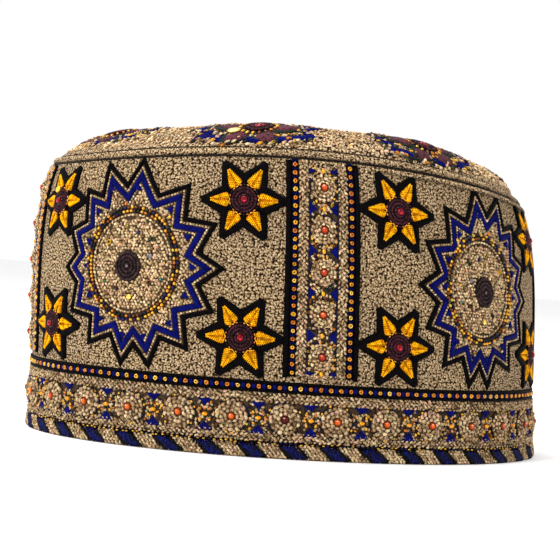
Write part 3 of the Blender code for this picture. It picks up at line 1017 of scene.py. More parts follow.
def star_outline(mirror):
    """Outline of the star, tips and notches in turn, as flat points."""
    points = []
    for tip_deg, tip_mm, notch_deg, notch_mm in STAR_POINTS:
        for degrees, reach in ((tip_deg, tip_mm), (notch_deg, notch_mm)):
            turn = math.radians(degrees)
            points.append((reach * math.cos(turn) - RING_SHIFT, reach * math.sin(turn)))
    points = np.array(points)
    if mirror:
        points = points[::-1] * np.array([-1.0, 1.0])
    return points


def panel_stations():
    """Middle of each medallion panel and whether its star is the mirrored one."""
    back = FRONT_STATION + PERIMETER / 2
    front_left = FRONT_STATION - PANEL_FRONT
    front_right = FRONT_STATION + PANEL_FRONT
    return (
        (front_left, False), (front_right, True), (back - PANEL_BACK, False),
        (back + PANEL_BACK, True)
    )


def column_stations():
    """Names and stations of the four columns."""
    return (
        ("front", FRONT_STATION),
        ("right", FRONT_STATION + COLUMN_STEP),
        ("back", FRONT_STATION + PERIMETER / 2),
        ("left", FRONT_STATION - COLUMN_STEP),
    )


def make_wall_half(name, start, end, nodes):
    """Half of the wall's cloth, cut behind the end columns."""
    steps = int((end - start) / WALL_PITCH)
    station = np.linspace(start, end, steps)
    outer = [(height, WALL_FACE) for height in np.linspace(2.0, 104.6, 62)]
    rim = [(105.6, -1.0), (106.4, -2.2), (105.8, -3.4)]
    inner = [(height, WALL_BACK) for height in (80.0, 40.0, 2.0)]
    tracks = []
    for height, out in outer + rim + inner:
        sway = (
            0.03 * np.sin(station / 9.0 + height / 13.0)
            + 0.03 * np.sin(station / 4.1 - height / 6.3)
        )
        lift = np.full(steps, out) + (sway if out == WALL_FACE else 0.0)
        tracks.append(np.column_stack([station, np.full(steps, height), lift]))
    shape = Shape()
    shape.band(tracks, (1.0, 1.0, 1.0), KNIT)
    build(name, shape, level_on_wall, nodes)


def make_crown_cloth():
    """Domed cloth of the crown."""
    steps = 240
    station = np.arange(steps) * PERIMETER / steps
    reaches = np.concatenate([np.linspace(99.6, 80.0, 20), np.linspace(78.0, 1.0, 34)])
    sides = (
        [(100.2, -1.2)] + [(r, CROWN_FACE) for r in reaches]
        + [(r, CROWN_BACK) for r in (1.0, 40.0, 76.0, 92.0, 98.0, 100.2)]
    )
    flats = [track(station, reach, out) for reach, out in sides]
    shape = Shape()
    shape.band(flats, (1.2, 1.2, 1.22), KNIT, ring=True, turn=PERIMETER)
    corners = shape.corners[0]
    length = crown_length(corners[:, 0])
    turn = 2 * math.pi * (corners[:, 0] / PERIMETER - 0.25)
    radius = corners[:, 1] / 100.0 * length
    shape.corners[0] = np.stack([radius * np.cos(turn), radius * np.sin(turn)], -1)
    build("crown_cloth", shape, on_crown, ["crown_panel"])
    rng = np.random.default_rng(61)
    count = CROWN_KNOTS
    station = rng.uniform(0.0, PERIMETER, count)
    reach = CROWN_KNOT_EDGE - CROWN_KNOT_DEPTH * rng.uniform(size=count) ** 1.3
    tints = beige(rng, count, 1.5) * (1.0, 0.98, 0.97)
    odd = rng.uniform(size=count) < 0.035
    tints[odd] = BEAD_TINTS[rng.choice((0, 3, 4, 5), int(odd.sum()))]
    knots = Shape()
    knots.scatter(
        np.column_stack([station, reach, np.full(count, -0.5)]), (0.85, 0.75, 0.45), tints,
        rng.uniform(0, 3, count), KNOT, grain=True
    )
    build("crown_knots", knots, on_crown, [])


def make_hem():
    """Turned hem with slanted dark bars and a fine dotted line over it."""
    rng = np.random.default_rng(11)
    colours = bpy.context.scene.cap_colours
    navy, black = tuple(colours.navy), tuple(colours.black)
    steps = 360
    station = np.arange(steps) * PERIMETER / steps
    section = [
        (4.9, -0.9), (4.9, -0.3), (4.2, -0.1), (2.5, -0.05), (0.8, -0.1), (0.2, -0.35), (0.1, -0.8)
    ]
    section += [
        (0.1, -3.4), (0.2, -4.5), (0.9, -4.9), (4.3, -4.9), (4.4, -4.0), (1.1, -3.7), (1.1, -1.2)
    ]
    tracks = [track(station, h, o) for h, o in section]
    shape = Shape()
    shape.band(tracks, (0.5, 0.5, 0.5), KNIT, ring=True, turn=PERIMETER)
    pitch = PERIMETER / HEM_BARS
    rows = np.arange(1.05, 4.8, 0.92)
    columns = np.arange(0.0, PERIMETER - 0.6, 1.45)
    v, u = np.meshgrid(rows, columns, indexing="ij")
    u = u + 0.61 * (np.arange(len(rows)) % 2)[:, None]
    spots = np.stack([u.ravel(), v.ravel()], -1) + rng.normal(0, 0.07, (u.size, 2))
    along = spots[:, 0] - HEM_PHASE + 1.04 * (spots[:, 1] - 2.5)
    clear = np.abs((along + pitch / 2) % pitch - pitch / 2) > 3.7
    spots = spots[clear]
    count = len(spots)
    shape.scatter(
        lifted(spots, -0.15), (0.98, 0.6, 0.55), beige(rng, count, 1.05),
        2.4 + rng.normal(0, 0.5, count), KNOT, grain=True
    )
    build("hem_wrap", shape, level_on_wall, ["rim_hem"])
    bars = Shape()
    strands = (
        (-3.7, black), (-2.85, black), (-1.9, navy), (-1.1, navy), (-0.3, navy), (0.5, navy),
        (1.3, navy), (2.15, black), (3.0, black)
    )
    for index in range(HEM_BARS):
        u = HEM_PHASE + index * pitch
        for shift, tint in strands:
            slide = rng.normal(0, 0.2)
            bar(
                bars, (u + shift + 2.1 + slide, 0.45), (u + shift - 2.3 + slide, 4.75), 0.46,
                np.array(tint) * 0.55, 5, base=-0.3, top=0.1
            )
            share = (np.arange(6) + rng.uniform(0.2, 0.8)) / 6.4
            across = u + shift + slide + 2.3 - 4.6 * share + rng.normal(0, 0.2, 6)
            knots = np.stack([across, 0.9 + 3.7 * share, np.full(6, 0.0)], -1)
            shades = np.array(tint) * rng.uniform(0.3, 1.1, (6, 1))
            bars.scatter(
                knots, (0.72, 0.42, 0.42), shades, 2.35 + rng.normal(0, 0.35, 6), KNOT, sides=6
            )
    bar(
        bars, (0.0, HEM_LINE), (PERIMETER, HEM_LINE), 0.75, black, 300, base=-0.7, top=0.0,
        ring=True
    )
    build("hem_bars", bars, level_on_wall, [])
    dots = Shape()
    count = int(PERIMETER / HEM_BEAD_PITCH)
    places = np.arange(count) * HEM_BEAD_PITCH + rng.normal(0, 0.25, count)
    levels = HEM_LINE + rng.normal(0, 0.15, count)
    points = np.column_stack([places, levels, np.full(count, -0.05)])
    tint = np.array(
        [paint(220, 170, 40), paint(196, 150, 60), paint(20, 20, 70), paint(24, 22, 20)]
    )
    dots.scatter(
        points, (0.62, 0.32, 0.35), tint[rng.choice(4, count, p=(0.35, 0.2, 0.25, 0.2))], 0.0,
        BEAD, sides=5
    )
    build("hem_beads", dots, level_on_wall, [])


def make_border():
    """Band of raised rounds between two chain strips."""
    rng = np.random.default_rng(23)
    colours = bpy.context.scene.cap_colours
    navy = tuple(colours.navy)
    pitch = PERIMETER / BORDER_COUNT
    steps = 420
    station = np.arange(steps) * PERIMETER / steps
    section = [(22.7, -1.0), (22.6, -0.5), (14.0, -0.45), (5.9, -0.5), (5.7, -1.0)]
    tracks = [track(station, h, o) for h, o in section]
    ground = Shape()
    ground.band(tracks, paint(58, 44, 29), KNOT, ring=True, turn=PERIMETER)
    build("border_ground", ground, on_wall, ["border_strip"])
    chains = Shape()
    for level in (6.8, 8.5, 20.2, 21.8):
        braid(
            chains, (0.0, level), (PERIMETER, level), rng, 0.98, pitch=1.75, offset=0.46,
            radii=(1.02, 0.52, 0.62), out=-0.3
        )
    build("border_chains", chains, on_wall, [])
    for part in range(3):
        rounds = Shape()
        for index in range(part * 10, part * 10 + 10):
            u = BORDER_PHASE + pitch * index
            pick = STONE_TINTS[4] if index == BORDER_RED else STONE_TINTS[rng.integers(0, 4)]
            round_knot(rounds, (u, BORDER_CENTRE), 5.85, rng, pick, 0.98, 0.94)
        build(f"border_rounds_{part + 1}", rounds, on_wall, [])
    trims = Shape()
    for index in range(BORDER_COUNT):
        u = BORDER_PHASE + pitch * (index + 0.5)
        clear = []
        for side, half, depth in ((-1, 2.9, 3.1), (1, 2.7, 2.4)):
            edge = BORDER_CENTRE + side * 5.5
            tip = BORDER_CENTRE + side * (5.5 - depth)
            outline = [(u - half, edge), (u + half, edge), (u, tip)][::-side]
            trims.patch(outline, -0.6, 0.1, navy, SATIN, inset=0.2)
            clear.append(np.array(outline))
        bits(
            trims, (u - 3.2, BORDER_CENTRE - 5.0), (u + 3.2, BORDER_CENTRE + 5.0), 60, rng, 0.95,
            clear
        )
        trims.scatter(
            [(u, BORDER_CENTRE, 0.0)], (1.25, 0.8, 0.9), paint(238, 160, 30), 0.15, BEAD, sides=8
        )
        corners = [(u + a, BORDER_CENTRE + b, 0.0) for a in (-1.7, 1.7) for b in (-1.9, 1.9)]
        trims.scatter(
            corners, (0.66, 0.5, 0.55), BEAD_TINTS[rng.choice((0, 1, 2, 6), 4)],
            rng.uniform(0, 3, 4), BEAD, sides=6
        )
    build("border_trims", trims, on_wall, [])


def make_dotted_line():
    """Blue line with gold dots between two black lines."""
    rng = np.random.default_rng(31)
    colours = bpy.context.scene.cap_colours
    shape = Shape()
    black, navy = tuple(colours.black), tuple(colours.navy)
    for level, half, top in ((23.4, 0.62, 0.05), (26.25, 0.68, 0.05), (DOT_LEVEL, 1.2, -0.3)):
        bar(
            shape, (0.0, level), (PERIMETER, level), half, black, 420, base=-1.0, top=top, ring=True
        )
    count = DOT_COUNT
    pitch = PERIMETER / count
    first = DOT_PHASE_SHARE * PERIMETER / 4
    for index in range(count):
        u = first + pitch * (index + 0.5)
        outline = [(u - 0.62, 23.9), (u + 0.62, 23.9), (u + 0.62, 25.7), (u - 0.62, 25.7)]
        shape.patch(outline, -0.7, -0.15, navy, SATIN, inset=0.2)
    build("dotted_band", shape, on_wall, ["dotted_line"])
    dots = Shape()
    gold_dots(dots, [(first + pitch * i, DOT_LEVEL) for i in range(count)], rng, 0.94)
    build("dotted_beads", dots, on_wall, [])


def make_column(name, station):
    """Upright strip: black lines, dotted blue bands, chains and raised rounds."""
    rng = np.random.default_rng(hash_name(name))
    colours = bpy.context.scene.cap_colours
    black, navy = tuple(colours.black), tuple(colours.navy)
    low = COLUMN_LOWEST - COLUMN_PITCH / 2
    high = low + COLUMN_PITCH * COLUMN_ROUNDS
    top = high + 1.7
    shape = Shape()
    across = np.linspace(-COLUMN_HALF, COLUMN_HALF, 14)
    rows = np.linspace(low, top, 30)
    face = [np.column_stack([np.full(30, u), rows, np.full(30, -0.5)]) for u in across[::-1]]
    back = [
        np.column_stack([np.full(30, u), rows, np.full(30, -1.0)])
        for u in (-COLUMN_HALF, COLUMN_HALF)
    ]
    shape.band(face + back, paint(62, 48, 32), KNOT)
    for side in (-1, 1):
        line, band, seam = side * COLUMN_LINE, side * COLUMN_BAND, side * COLUMN_SEAM
        bar(shape, (line, low - 0.5), (line, top), 0.98, black, 40, top=0.3)
        bar(shape, (band, low), (band, top), 1.5, black, 40, top=-0.3)
        bar(
            shape, (seam, low + 1.4), (seam, top - 3.0), 0.3, paint(30, 24, 28), 40, base=-0.8,
            top=0.05, slot=KNOT
        )
        for offset in (6.5, 8.15):
            braid(
                shape, (side * offset, low + 0.3), (side * offset, top - 0.3), rng, 1.08, pitch=1.7,
                offset=0.46, radii=(1.0, 0.52, 0.65)
            )
        levels = low + 1.4 + 2.9 * np.arange(26)
        levels = levels[levels < top - 0.8]
        for level in levels + 1.45:
            outline = [
                (band - 1.15, level - 0.4), (band + 1.15, level - 0.4),
                (band + 1.15, level + 0.4), (band - 1.15, level + 0.4)
            ]
            shape.patch(outline, -0.6, -0.1, 0.45 * np.array(navy), SATIN, inset=0.2)
        gold_dots(shape, [(band, level) for level in levels], rng, 0.95)
    for index in range(COLUMN_ROUNDS + 1):
        v = COLUMN_LOWEST + COLUMN_PITCH * index
        edge = v - COLUMN_PITCH / 2
        first, last = max(edge - 2.5, low + 0.3), min(edge + 2.5, high - 0.3)
        clear = []
        for side in (-1, 1):
            outline = [
                (side * 5.3, first), (side * 5.3, last), (side * 2.5, (first + last) / 2)
            ][::side]
            shape.patch(outline, -0.6, 0.1, navy, SATIN, inset=0.2)
            clear.append(np.array(outline))
        bits(
            shape, (-5.2, max(edge - 4.6, low + 0.4)), (5.2, min(edge + 4.6, high - 0.4)), 90, rng,
            1.05, clear
        )
        shape.scatter(
            [[0.0, (first + last) / 2, 0.0]], (0.75, 1.05, 0.8), paint(236, 170, 36), 0.0, BEAD,
            sides=8
        )
        if index == COLUMN_ROUNDS:
            break
        round_knot(shape, (0.0, v), 4.85, rng, STONE_TINTS[rng.integers(0, 4)], 1.1, 1.03)
    for level in (top - 0.5, top - 1.9):
        braid(shape, (-8.6, level), (8.6, level), rng, 1.0, pitch=1.6, offset=0.42, out=-0.2)
    braid(shape, (-8.6, low + 0.5), (8.6, low + 0.5), rng, 0.8, pitch=1.4, offset=0.36, out=-0.2)
    build(
        f"{name}_work", shape, lambda flat: on_wall(flat + np.array([station, 0.0, 0.0])),
        [f"column_{name}"]
    )


def hash_name(name):
    """Small fixed number from a name, so that each piece draws its own tints."""
    return sum((index + 1) * ord(letter) for index, letter in enumerate(name))


def make_medallion(number, station, mirror):
    """Star of black, beige and blue lines round a beaded ring and a coiled disc."""
    rng = np.random.default_rng(40 + number)
    colours = bpy.context.scene.cap_colours
    sizes = bpy.context.scene.cap_sizes
    black, navy = tuple(colours.black), tuple(colours.navy)
    shape = Shape()
    outline = inset_outline(star_outline(mirror), -STAR_GROWTH)
    outline[:, 0] *= np.where(outline[:, 0] < 0.0, STAR_SQUEEZE.get(number, 1.0), 1.0)
    way = -1 if mirror else 1
    shift = RING_SHIFT * way + RING_NUDGE.get(number, 0.0)
    edge = sizes.outline / MM
    zigzag = sizes.zigzag / MM
    edge_line = dense(inset_outline(outline, 0.8), 3)
    tracks = [lifted(edge_line * share, -0.42) for share in np.linspace(1.0, 0.01, 12)]
    shape.band(tracks[::-1], paint(66, 48, 29), KNOT, ring=True, tube=False)
    ribbon(shape, outline, 0.0, edge, black, 9, top=0.35)
    chain(
        shape, dense(inset_outline(outline, edge + 0.58), 2), rng, pitch=1.15,
        radii=(0.66, 0.46, 0.5), level=1.25
    )
    inner = edge + 1.15
    ribbon(shape, outline, inner, inner + zigzag, navy, 9, top=0.2)
    inner += zigzag
    chain(
        shape, dense(inset_outline(outline, inner + 0.55), 2), rng, pitch=1.15,
        radii=(0.66, 0.44, 0.5), level=1.2
    )
    field = inset_outline(outline, inner + 1.1)
    points = hex_grid((-42, -42), (42, 42), sizes.grain / MM, rng)
    across, up = points[:, 0] - shift, points[:, 1]
    within = np.hypot(across / RING_INNER[0], up / RING_INNER[1])
    beyond = np.hypot(across / RING_OUTER[0], up / RING_OUTER[1])
    hub = np.hypot((across + way) / HUB_CLEAR[0], (up - HUB_DROP) / HUB_CLEAR[1])
    keep = inside(field, points) & ((beyond > 1.0) | (within < 0.97)) & (hub > 1.02)
    for tip in outline[::2] if not mirror else outline[1::2]:
        away = tip - (shift, 0.0)
        reach = np.linalg.norm(away)
        away = away / reach
        side = np.array([-away[1], away[0]])
        apex = (shift, 0.0) + away * (reach - TRIANGLE_TIP)
        base = (shift, 0.0) + away * (reach - TRIANGLE_BASE)
        corners = np.array([apex, base + side * 1.4, base - side * 1.4])
        shape.patch(corners, -0.6, 0.3, navy, SATIN, inset=0.15)
        keep &= ~inside(inset_outline(corners, -0.35), points)
    for across_at, up_at, radius, kind, tone in SCATTERED:
        place = (
            np.array([across_at * way, up_at]) if number < 3
            else rng.uniform(-10.0, 10.0, 2) + (shift, 0.0)
        )
        keep &= np.hypot(*(points - place).T) > radius * 0.9
        if kind == "ring":
            tracks = [
                lifted(circle(radius * share, 10) + place, out)
                for share, out in ((1.0, -0.4), (0.72, 0.35), (0.4, -0.1))
            ]
            shape.band(tracks, paint(*tone), BEAD, ring=True)
        else:
            flatness = 0.35 if kind == "disc" else 0.8
            shape.scatter(
                [[*place, -0.1]],
                (radius, radius * (1.0 if kind == "disc" else 0.75), radius * flatness),
                paint(*tone), rng.uniform(0, 3), BEAD, sides=10
            )
    places = points[keep]
    count = len(places)
    radii = np.array([0.86, 0.62, 0.6]) * rng.uniform(0.8, 1.15, (count, 1))
    level = np.where(np.hypot(places[:, 0] - shift, places[:, 1]) < 18.0, 1.3, 1.2)[:, None]
    shape.scatter(
        lifted(places, -0.35), radii, beige(rng, count) * level * 1.04,
        rng.uniform(0, math.pi, count), KNOT, grain=True
    )
    tracks = []
    for share, out in ((1.0, -0.6), (0.985, -0.2), (0.9, -0.2), (0.885, -0.6)):
        line = circle(RING_LINE[0] * share, 90, RING_LINE[1] / RING_LINE[0])
        tracks.append(lifted(line + (shift, 0.0), out))
    shape.band(tracks, paint(42, 26, 16), KNOT, ring=True)
    for reach, stretch, size in ((18.25, 20.6, 0.78), (17.0, 19.3, 0.74)):
        spots, turns = spaced(circle(reach, 200, stretch / reach), 1.5)
        pick = rng.choice(len(BEAD_TINTS), len(spots), p=(0.24, 0.07, 0.17, 0.2, 0.16, 0.05, 0.11))
        shape.scatter(
            lifted(spots + (shift, 0.0), 0.0), (size, size * 0.8, size), BEAD_TINTS[pick], turns,
            BEAD, sides=6
        )
    chain(
        shape, circle(RING_CHAIN[0], 200, RING_CHAIN[1] / RING_CHAIN[0]) + (shift, 0.0), rng,
        pitch=1.5, radii=(0.86, 0.5, 0.55), out=-0.15, level=1.35
    )
    coil(shape, (shift - way, HUB_DROP), HUB[0], HUB[1] / HUB[0], paint(54, 36, 38), rng, 4, 0.1)
    shape.scatter(
        [[shift - way, HUB_DROP, 0.5]], (0.7, 0.6, 0.4), paint(112, 104, 108), 0.0, BEAD, sides=6
    )
    place = wall_local(station, PANEL_HEIGHT)
    nudge = np.array(STAR_NUDGE.get(number, (0.0, 0.0, 0.0)))
    build(
        f"medallion_{number}_work", shape, lambda flat: place(flat + nudge),
        [f"medallion_{number}"]
    )


def coil(shape, centre, radius, stretch, tint, rng, turns, out):
    """Disc of coiled thread."""
    tube = radius / turns / 2
    for index in range(turns):
        reach = tube + 2 * tube * index
        count = max(int(2 * math.pi * reach / 0.95), 4)
        places, direction = spaced(circle(reach, 48, stretch), 2 * math.pi * reach / count)
        places = places + centre
        points = lifted(places, out + 0.25 * (1 - index / turns))
        shades = np.array(tint) * rng.uniform(0.4, 1.5, (len(places), 1))
        shape.scatter(points, (0.66, tube * 0.98, 0.5), shades, direction + 0.3, KNOT, sides=6)
    line = circle(radius * 0.98, 24, stretch) + centre
    shape.patch(line, -0.6, out - 0.1, np.array(tint) * 0.3, KNOT, inset=0.2)


def make_flower(number, station, height):
    """Six leaf-shaped petals of slanted thread in a black satin edge, round a coiled centre."""
    rng = np.random.default_rng(100 + number)
    colours = bpy.context.scene.cap_colours
    black = tuple(colours.black)
    shape = Shape()
    outline = petal_ring(EDGE)
    profile = ((-0.6, -0.7), (-0.5, 0.0), (0.2, 0.4), (1.1, 0.4), (2.2, 0.05))
    tracks = []
    for inward, out in profile:
        line = dense(inset_outline(outline, inward), 2)
        tracks.append(lifted(line, out))
    shape.band(tracks, black, SATIN, ring=True, tube=False)
    shape.patch(circle(8.8, 24), -0.6, 0.1, black, SATIN, inset=0.1)
    yellow = np.array(tuple(colours.yellow))
    for petal in range(6):
        turn = math.pi / 3 * petal
        spin = rotation(turn)
        leaf = leaf_outline(LEAF)
        shape.patch(leaf @ spin.T, -0.6, 0.25, yellow * (0.5, 0.34, 0.2), SATIN, inset=0.15)
        reaches = np.arange(5.6, 11.7, 0.66)
        for side in (-1, 1):
            half = np.interp(reaches + 0.3, [r for r, w in LEAF], [w for r, w in LEAF])
            start = np.stack([reaches - 0.3, np.full(len(reaches), 0.2 * side)], -1)
            end = np.stack([reaches + 0.7, 0.92 * half * side], -1)
            middle = (start + end) / 2
            span = end - start
            length = np.linalg.norm(span, axis=1)
            direction = np.arctan2(span[:, 1], span[:, 0]) + turn
            radii = track(length / 2 + 0.1, 0.29, 0.4)
            tint = yellow * rng.uniform(0.95, 1.3, (len(reaches), 1))
            dull = rng.uniform(size=(len(reaches), 1)) < 0.08
            tint = tint * np.where(dull, (0.8, 0.55, 0.4), (1.0, 1.0, 1.0))
            shape.scatter(lifted(middle @ spin.T, 0.3), radii, tint, direction, SATIN)
    count = 24
    turn = 2 * math.pi * np.arange(count) / count
    points = np.stack([5.2 * np.cos(turn), 5.2 * np.sin(turn), np.full(count, 0.6)], -1)
    shades = np.array(
        [paint(236, 166, 60), paint(176, 104, 44), paint(20, 12, 14), paint(210, 140, 60)]
    )
    shape.scatter(
        points, (0.62, 0.3, 0.34), shades[np.arange(count) * 7 % 4], turn + math.pi / 2, BEAD,
        sides=5
    )
    coil(shape, (0.0, 0.0), 4.75, 1.0, np.array(tuple(colours.maroon)) * 0.9, rng, 4, 0.45)
    if number == FLOWER_WITH_SEQUIN:
        shape.scatter(
            [[-2.6, 4.4, 1.0]], (1.7, 1.35, 0.9), paint(250, 206, 50), 0.3, BEAD, sides=12
        )
    build(
        f"flower_{number}_work", shape, wall_local(station, height),
        [f"flower_{number}"]
    )
    stone = Shape()
    rings = [lifted(circle(reach, 16), out) for reach, out in ((1.9, 0.6), (1.95, 1.0), (1.5, 1.2))]
    stone.band(rings, paint(46, 10, 16), STONE, ring=True, tube=False)
    stone.scatter([[0.0, 0.0, 1.05]], (1.35, 1.35, 1.2), tuple(colours.red), 0.0, STONE, sides=16)
    # Painted highlight: a small bright magenta spot on the red stone.
    stone.scatter([[0.1, -0.55, 1.85]], (0.55, 0.42, 0.35), paint(240, 26, 84), 0.0, STONE, sides=8)
    build(
        f"flower_{number}_gem", stone, wall_local(station, height),
        [f"flower_stone_{number}"]
    )


def make_crown_flower(number, station):
    """Maroon flower on the crown in a zigzag of dark thread and gold beads."""
    rng = np.random.default_rng(200 + number)
    colours = bpy.context.scene.cap_colours
    shape = Shape()
    ring_place = crown_local(station)
    maroon = np.array(tuple(colours.maroon))
    green, navy = paint(30, 34, 28), tuple(colours.navy)
    outline = squashed(petal_ring(CROWN_EDGE))
    profile = ((0.0, -0.6), (0.2, 0.0), (0.8, 0.25), (1.5, 0.1))
    tracks = []
    for inward, out in profile:
        line = inset_outline(outline, inward)
        tracks.append(lifted(line, out))
    shape.band(tracks, green, KNOT, ring=True, tube=False)
    shape.patch(circle(7.2, 18), -0.6, 0.05, green, KNOT, inset=0.1)
    for petal in range(6):
        turn = math.pi / 3 * petal
        spin = rotation(turn)
        leaf = leaf_outline(CROWN_LEAF)
        shape.patch(
            squashed(leaf @ spin.T), -0.5, 0.45, maroon * rng.uniform(1.6, 2.4), KNOT, inset=0.25,
            crown=0.15
        )
    count = 20
    turn = 2 * math.pi * np.arange(count) / count
    ring = np.stack([5.3 * np.cos(turn), 5.3 * np.sin(turn), np.full(count, 0.35)], -1)
    shape.scatter(
        ring, (0.75, 0.5, 0.5), BEAD_TINTS[rng.choice((0, 1, 6, 2), count)], turn, BEAD, sides=5
    )
    coil(shape, (0.0, 0.0), 4.3, 1.0, tuple(maroon * 1.2), rng, 3, 0.5)
    shape.scatter([[0.0, 0.0, 0.55]], (1.7, 1.7, 0.7), paint(190, 16, 34), 0.0, STONE, sides=14)
    outline = []
    for index in range(12):
        for share, reach in ((0.0, 21.5), (0.5, 16.2)):
            turn = 2 * math.pi * (index + share + 0.25) / 12
            outline.append((reach * math.cos(turn), reach * math.sin(turn) * 0.84))
    outline = squashed(outline)
    ribbon(shape, outline, 0.9, 3.0, navy, 3, base=-0.6, top=0.2)
    for inward, share, high in (
        (0.2, 0.75, -0.25), (0.9, 0.5, 0.0), (2.0, 0.3, 0.25), (3.4, 0.9, 0.0)
    ):
        spots, turns = spaced(inset_outline(outline, inward), 1.5)
        used = rng.uniform(size=len(spots)) < share
        spots, turns = spots[used] + rng.normal(0, 0.15, (int(used.sum()), 2)), turns[used]
        tints = beige(rng, len(spots), 1.2)
        odd = rng.uniform(size=len(spots)) < 0.4
        tints[odd] = BEAD_TINTS[rng.choice((0, 1, 3, 3, 5, 5, 6), int(odd.sum()))]
        shape.scatter(
            lifted(spots, high), (0.85, 0.6, 0.45), tints, turns + rng.normal(0.3, 0.4, len(spots)),
            KNOT, grain=True
        )
    if number == CROWN_FLOWER_WITH_SEQUIN:
        shape.scatter(
            [[-5.6, -4.4, 0.8]], (1.9, 1.5, 0.4), paint(240, 208, 120), 0.1, BEAD, sides=14
        )
    spots = hex_grid((-20, -12), (20, 17), 1.5, rng)
    reach = np.hypot(spots[:, 0], spots[:, 1])
    clear = squashed(petal_ring(CROWN_CLEAR))
    keep = inside(inset_outline(outline, 3.9), spots) & ~inside(clear, spots) & (reach > 6)
    spots = spots[keep]
    tints = beige(rng, len(spots), 1.05)
    odd = rng.uniform(size=len(spots)) < 0.3
    tints[odd] = BEAD_TINTS[rng.integers(0, len(BEAD_TINTS), int(odd.sum()))]
    shape.scatter(
        lifted(spots, -0.25), (0.8, 0.62, 0.6), tints, rng.uniform(0, 3, len(spots)), KNOT,
        grain=True
    )
    build(
        f"crown_flower_{number}_work", shape,
        lambda flat: ring_place(flat * np.array([1.22, 1.05, 1.0]) + np.array([0.0, -4.0, 0.0])),
        [f"crown_flower_{number}"]
    )


def make_crown_medallion():
    """Star with a beaded ring and coiled disc in the middle of the crown."""
    rng = np.random.default_rng(300)
    colours = bpy.context.scene.cap_colours
    shape = Shape()
    outline = []
    for index in range(16):
        for share, reach in ((0.0, 27.0), (0.5, 22.0)):
            turn = 2 * math.pi * (index + share) / 16
            outline.append((reach * math.cos(turn), reach * math.sin(turn)))
    outline = np.array(outline)
    ribbon(shape, outline, 0.0, 1.3, tuple(colours.black), 4, top=0.3)
    chain(shape, dense(inset_outline(outline, 1.9), 2), rng, pitch=1.0, radii=(0.55, 0.4, 0.45))
    ribbon(shape, outline, 2.5, 4.2, tuple(colours.navy), 4, top=0.2)
    points = hex_grid((-30, -30), (30, 30), 1.3, rng)
    radius = np.hypot(points[:, 0], points[:, 1])
    keep = (
        inside(inset_outline(outline, 4.7), points) & ((radius > 16.6) | (radius < 14.4))
        & (radius > 5.2)
    )
    places = points[keep]
    shape.scatter(
        lifted(places, -0.4), (0.72, 0.56, 0.55), beige(rng, len(places)),
        rng.uniform(0, 3, len(places)), KNOT, grain=True
    )
    spots, turns = spaced(circle(15.5, 90), 1.35)
    mix = np.array([paint(222, 158, 44), paint(116, 70, 32), paint(24, 20, 30), paint(22, 22, 84)])
    shape.scatter(
        lifted(spots, 0.1), (0.62, 0.7, 0.6), mix[rng.integers(0, 4, len(spots))], turns, BEAD,
        sides=6
    )
    coil(shape, (0.0, 0.0), 5.2, 1.0, tuple(colours.maroon), rng, 4, 0.3)
    build("crown_medallion_work", shape, crown_plan, ["crown_medallion"])


def braid(
    shape, start, end, rng, level=1.0, pitch=1.35, offset=0.42, radii=(0.8, 0.38, 0.55), out=-0.3
):
    """Chain of two rows of slanted stitches between two points."""
    start, end = np.array(start, dtype=float), np.array(end, dtype=float)
    places, turns = spaced(np.stack([start, end]), pitch, False)
    side = np.stack([-np.sin(turns), np.cos(turns)], -1)
    ahead = np.stack([np.cos(turns), np.sin(turns)], -1)
    count = len(places)
    for way in (-1, 1):
        spots = (
            places + side * offset * way + ahead * pitch * 0.25 * way
            + rng.normal(0, 0.13, (count, 2))
        )
        size = np.array(radii) * rng.uniform(0.75, 1.2, (count, 1))
        points = lifted(spots, out)
        shape.scatter(
            points, size, beige(rng, count, level), turns - way * 0.55 + rng.normal(0, 0.34, count),
            KNOT, grain=True
        )


def bits(shape, low, high, count, rng, level=1.0, clear=()):
    """Loose small knots with beads among them in a box, clear of the given outlines."""
    spots = rng.uniform(size=(count, 2)) * (np.array(high) - low) + low
    for outline in clear:
        spots = spots[~inside(inset_outline(outline, -0.3), spots)]
    count = len(spots)
    tints = beige(rng, count, level)
    odd = rng.uniform(size=count) < 0.42
    tints[odd] = BEAD_TINTS[rng.choice((0, 1, 2, 3, 3, 4, 5), int(odd.sum()))]
    shape.scatter(
        lifted(spots, -0.35), (0.72, 0.5, 0.55), tints, rng.uniform(0, 3, count), KNOT, sides=6
    )


def leaf_outline(sides):
    """Closed outline of one petal from its half width at each reach; its tip has none."""
    return np.array([(r, -w) for r, w in sides] + [(r, w) for r, w in sides[-2::-1]])


def petal_ring(sides):
    """Closed outline of six petals from the half-width of one of them."""
    outline = []
    for petal in range(6):
        turn = math.pi / 3 * petal
        spin = rotation(turn)
        half = [(r, -w) for r, w in sides] + [(r, w) for r, w in sides[:0:-1]]
        outline += [spin @ np.array(point) for point in half]
    return np.array(outline)


def squashed(points):
    """Flat points drawn in where they would pass the crown's edge."""
    points = np.array(points, dtype=float)
    low = points[:, 1] < -8.0
    points[low, 1] = -8.0 + (points[low, 1] + 8.0) * 0.2
    return points


